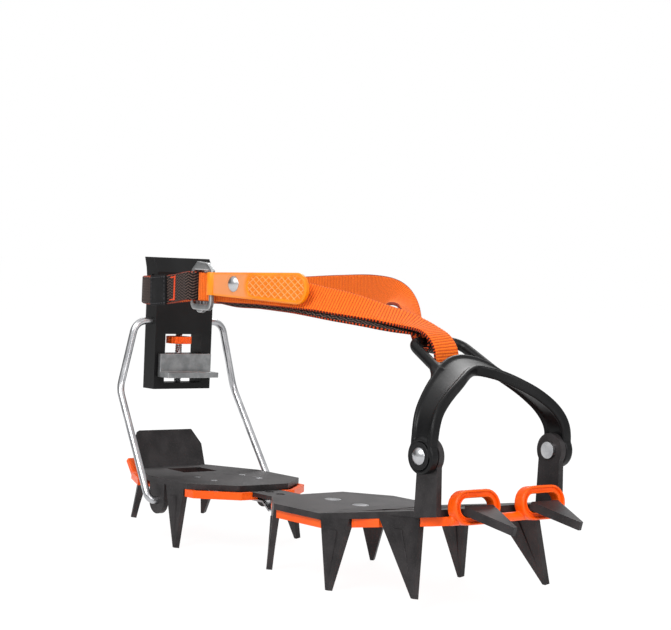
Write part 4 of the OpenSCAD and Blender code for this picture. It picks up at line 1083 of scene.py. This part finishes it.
TAB_BAR = swung(OUTER_REAR, -OUTER_TURN, OUTER_LEN, 0, 0) + point(0, 0, 1.8)
TAB_TURN = math.radians(5.1)
TAB_LEN = 72
TAB_START = 1.9
TAB_STEP = 0.28
TAB_CLOSING = np.array([0.7, 0.4, 0.2, 0.08, 0.02])
TAB_ROOT_HW = 5.8
TAB_END_R = 7.7
TAB_T = 1.8
TAB_EDGE_SHARE = 0.995
TAB_EDGE_T = 0.7
TAB_COLUMNS = 64
GRIP_START = 28
GRIP_INSET = 1.7
GRIP_FADE = 0.5
GRIP_RIM = 0.7
GRIP_RIDGE = 0.45
MILKY_REACH = 2.5
MILKY_FADE = 1.6


def tab_half_width(x):
    """Half width of the tab at a distance from its bar: it widens, and ends in a half circle."""
    middle = TAB_LEN - TAB_END_R
    if x > middle:
        return math.sqrt(max(0.02, TAB_END_R**2 - (x - middle) ** 2))
    return TAB_ROOT_HW + (TAB_END_R - TAB_ROOT_HW) * x / middle


def grip_depth(x, z):
    """Distance inside the outline of the grip panel, whose two ends are round; negative outside it."""
    first = GRIP_START + TAB_ROOT_HW
    last = TAB_LEN - TAB_END_R
    if x < first:
        return tab_half_width(first) - GRIP_INSET - math.hypot(x - first, z)
    if x > last:
        return TAB_END_R - GRIP_INSET - math.hypot(x - last, z)
    return tab_half_width(x) - GRIP_INSET - abs(z)


def release_tab():
    along = np.concatenate([np.arange(TAB_START, TAB_LEN - 1, TAB_STEP), TAB_LEN - TAB_CLOSING])
    shares = np.linspace(1, -1, TAB_COLUMNS)
    outline = [(u, -0.5, 1.0) for u in shares] + [(u, 0.5, 0.0) for u in shares[::-1]]
    rings, rows = [], []
    for x in along:
        half = tab_half_width(x)
        ring = []
        for u, v, face in outline:
            z = u * half
            off = v * (TAB_T if abs(u) < TAB_EDGE_SHARE else TAB_T * TAB_EDGE_T)
            ring.append(swung(TAB_BAR, TAB_TURN, x, off, z))
            depth = grip_depth(x, z)
            rim = clamped(1.0 - abs(depth + GRIP_RIM) / GRIP_RIM)
            milky = clamped(-depth / MILKY_REACH - 0.5) * clamped((half - abs(z)) / MILKY_FADE)
            rows.append((x, z, face, clamped(depth / GRIP_FADE), rim, milky))
        rings.append(ring)
    mesh = mesh_from("release_tab_moulding", *skin(rings))
    write_values(mesh, dict(zip(("along", "across_mm", "face", "grip", "rim", "milky"), zip(*rows))))
    obj = object_from("release_tab_moulding", mesh, AMBER)
    run_group(obj, grip_group(), {"Ridge height": GRIP_RIDGE * MM, "Material": AMBER})
    hw = TAB_ROOT_HW
    eye = [(1.5, -hw), (2.5, -hw), (2.58, 0.1 - hw), (2.58, hw - 0.1), (2.5, hw), (1.5, hw)]
    tube = mesh_from("eye", *lathed(eye, TAB_BAR, UP))
    obj.data = joined("release_tab_moulding", obj.data, tube)
    obj.data.materials.append(AMBER)
    smooth(obj.data, 45)
    place(obj, "amber_plastic", "tab", "release_tab")


# Label on the strap, bare and sewn along its border, and the bar tack that closes the sewn loop

LABEL_ROWS = [(-86, -46.45, 136.1), (-94, -46.4, 135.5), (-102, -45.55, 135)]
LABEL_W = 16
LABEL_OUTLINE = [(8, 0.2), (7.8, 0.5), (-7.8, 0.5), (-8, 0.2),
                 (-8, -0.2), (-7.8, -0.5), (7.8, -0.5), (8, -0.2)]
LABEL_FACE = point(0, -0.55, 0)
SEAM_HW = 6.9


def sewn_on(name, paths, length, pitch, radius, material, slot, node):
    """Stitches along paths on the strap's sewn end."""
    verts = [p for path in paths for p in path]
    edges, first = [], 0
    for path in paths:
        edges += [(first + i, first + i + 1) for i in range(len(path) - 1)]
        first += len(path)
    mesh = bpy.data.meshes.new(name)
    mesh.from_pydata([tuple(v * MM) for v in verts], edges, [])
    obj = object_from(name, mesh, material)
    run_group(obj, STITCHES, {"Stitch length": length * MM, "Stitch pitch": pitch * MM,
                              "Thread radius": radius * MM, "Material": material})
    smooth(obj.data, 60)
    place_soft(obj, slot, *SEWN_BEND, node)


def on_sewn_face(x, z):
    """Place just outside the outer face of the sewn loop, z over its middle line."""
    face_y = np.interp(x, [-88, -80, -76], [-44.8, -45.0, -45.6]) - 0.9
    return point(x, face_y, np.interp(x, [-88, -69], [136.2, 138.4]) + z)


def strap_label():
    curve, side, _ = flowing([(point(*r), UP, LABEL_W) for r in LABEL_ROWS], 0.6)
    across, normal = frames_along(curve, side)
    mesh = mesh_from("strap_label_tag", *swept(LABEL_OUTLINE, curve, across, normal))
    smooth(mesh, 30)
    place_soft(object_from("strap_label_tag", mesh, LABEL), "label", *SEWN_BEND, "strap_label")
    inner = range(2, len(curve) - 2)
    border = [[curve[i] + LABEL_FACE + across[i] * SEAM_HW * s for i in inner] for s in SIDES]
    border += [[curve[i] + LABEL_FACE + across[i] * z for z in np.linspace(-SEAM_HW, SEAM_HW, 12)]
               for i in (inner[0], inner[-1])]
    sewn_on("strap_label_border", border, 1.5, 2.0, 0.22, DARK_THREAD, "label", "strap_label")
    tack = [[on_sewn_face(x, z) for z in np.linspace(-5.8, 5.8, 12)] for x in (-78.9, -78.2)]
    tack += [[on_sewn_face(x, z) for x in np.linspace(-82.6, -78.5, 5)] for z in (-5.9, 5.9)]
    sewn_on("strap_bartack", tack, 1.6, 1.0, 0.4, TACK, "webbing", "ankle_strap")


# Adjuster screw and latch leaf

SCREW_R = 2.0
SCREW_PITCH = 1.25
SCREW_SIDES = 36
SCREW_STEP = 0.16
THREAD_DEPTH = 0.32
LATCH_CUTS = np.arange(-86, -50, 2.0)
LATCH_HELD = -82
LATCH_FREE = -72


def adjuster_screw():
    low, high = (corner[2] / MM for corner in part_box("adjuster_screw"))
    rings = []
    for z in np.arange(low, high, SCREW_STEP):
        ring = []
        for a in full_turn(SCREW_SIDES):
            cut = abs(((z / SCREW_PITCH - a / (2 * math.pi)) % 1.0) - 0.5) * 2
            r = SCREW_R - THREAD_DEPTH * cut
            ring.append(point(CROSS[0] + r * math.cos(a), r * math.sin(a), z))
        rings.append(ring)
    mesh = mesh_from("adjuster_thread", *skin(rings))
    smooth(mesh, 35)
    place(object_from("adjuster_thread", mesh, BRIGHT), "bright_steel", "adjuster", "adjuster_screw")


def length_latch():
    obj = object_from("length_latch_leaf", merged_copy("length_latch"), BRIGHT)
    with editing(obj.data) as shape:
        bmesh.ops.triangulate(shape, faces=shape.faces)
        for x in LATCH_CUTS:
            bmesh.ops.bisect_plane(shape, geom=shape.verts[:] + shape.edges[:] + shape.faces[:],
                                   plane_co=(x * MM, 0, 0), plane_no=(1, 0, 0))
    smooth(obj.data, 30)
    place_soft(obj, "bright_steel", "rear", "latch", LATCH_HELD, LATCH_FREE, "length_latch")


# Floor, light and camera

FLOOR_SIZE = 40
AIM = (0, 0, 0.07)
# Lamps: name, place in metres, size and power
LAMPS = (
    ("key", (0.5, -1.3, 1.5), 1.0, 26),
    ("front_fill", (1.7, -0.2, 0.8), 1.0, 12),
    ("back_rim", (-0.9, 0.9, 1.2), 0.8, 10),
)
EYE = (709.8, -566.3, 154.7)
VIEW_ANGLES = (51.42, 1.71, 2.36)
FOCAL_PIXELS = 1793.2
IMAGE_PIXELS = 671


def seen_rays(t):
    """1 for rays from the camera, off glossy faces and through clear ones; and 1 for camera rays alone."""
    path = t.add("ShaderNodeLightPath").outputs
    indirect = t.math("MAXIMUM", path["Is Glossy Ray"], path["Is Transmission Ray"])
    return t.math("MAXIMUM", path["Is Camera Ray"], indirect), path["Is Camera Ray"]


def stage():
    """White floor that glows for the camera and still takes shadows."""
    bpy.ops.mesh.primitive_plane_add(size=FLOOR_SIZE)
    floor = bpy.context.object
    floor.name = "studio_floor"
    material, t, shader, _ = finish("studio_floor")
    feed_shader(t, shader, {"Base Color": (0.9, 0.9, 0.9, 1), "Roughness": 0.9})
    seen, _ = seen_rays(t)
    glow = t.add("ShaderNodeEmission", {"Color": (1, 1, 1, 1), "Strength": 1.06})
    mix = t.add("ShaderNodeMixShader", {0: t.times(seen, 0.9), 1: shader.outputs[0], 2: glow.outputs[0]})
    output = material.node_tree.nodes["Material Output"]
    t.feed(output.inputs["Surface"], mix.outputs[0])
    floor.data.materials.append(material)


def lamp(name, at, size, power):
    data = bpy.data.lights.new(name, "AREA")
    data.shape = "DISK"
    data.size = size
    data.energy = power
    obj = linked(name, data)
    obj.location = at
    obj.rotation_euler = (Vector(AIM) - Vector(at)).to_track_quat("-Z", "Y").to_euler()


def lights():
    """White sky, darker in reflections low down and towards the heel, and three lamps."""
    world = bpy.data.worlds.new("studio")
    bpy.context.scene.world = world
    world.use_nodes = True
    t = Tree(world.node_tree)
    sky = world.node_tree.nodes["Background"]
    seen, camera_ray = seen_rays(t)
    way = t.add("ShaderNodeSeparateXYZ", {"Vector": t.add("ShaderNodeTexCoord").outputs["Generated"]}).outputs
    high = t.math("ADD", t.times(t.ramp(way["Z"], 0.0, 0.8), 0.5), 0.4)
    dim = t.times(t.ramp(way["X"], -0.35, -0.8), t.ramp(way["Z"], 0.75, 0.35))
    high = t.times(high, t.math("SUBTRACT", 1.0, t.times(dim, 0.75)))
    mirrored = t.math("MAXIMUM", high, camera_ray)
    feed_shader(t, sky, {"Color": (1, 1, 1, 1), "Strength": t.spread(seen, 0.5, mirrored)})
    for row in LAMPS:
        lamp(*row)


def camera():
    """Camera at the photograph's place, with its focal length in pixels of the image."""
    azimuth, elevation, roll = (math.radians(a) for a in VIEW_ANGLES)
    back = Vector((math.sin(azimuth) * math.cos(elevation), -math.cos(azimuth) * math.cos(elevation),
                   math.sin(elevation)))
    level = Vector((0, 0, 1)).cross(back).normalized()
    above = back.cross(level)
    right = level * math.cos(roll) + above * math.sin(roll)
    top = above * math.cos(roll) - level * math.sin(roll)
    data = bpy.data.cameras.new("camera")
    data.lens = FOCAL_PIXELS / IMAGE_PIXELS * data.sensor_width
    obj = linked("camera", data)
    turned = Matrix((right, top, back)).transposed().to_4x4()
    obj.matrix_world = Matrix.Translation(Vector(EYE) * MM) @ turned
    bpy.context.scene.camera = obj


bpy.context.scene.view_settings.view_transform = "Standard"
camera()
stage()
lights()
plain_pieces()
toe_basket()
front_loops()
heel_bail()
lever_ribs()
ankle_strap()
buckle_rings()
release_tab()
strap_label()
adjuster_screw()
length_latch()
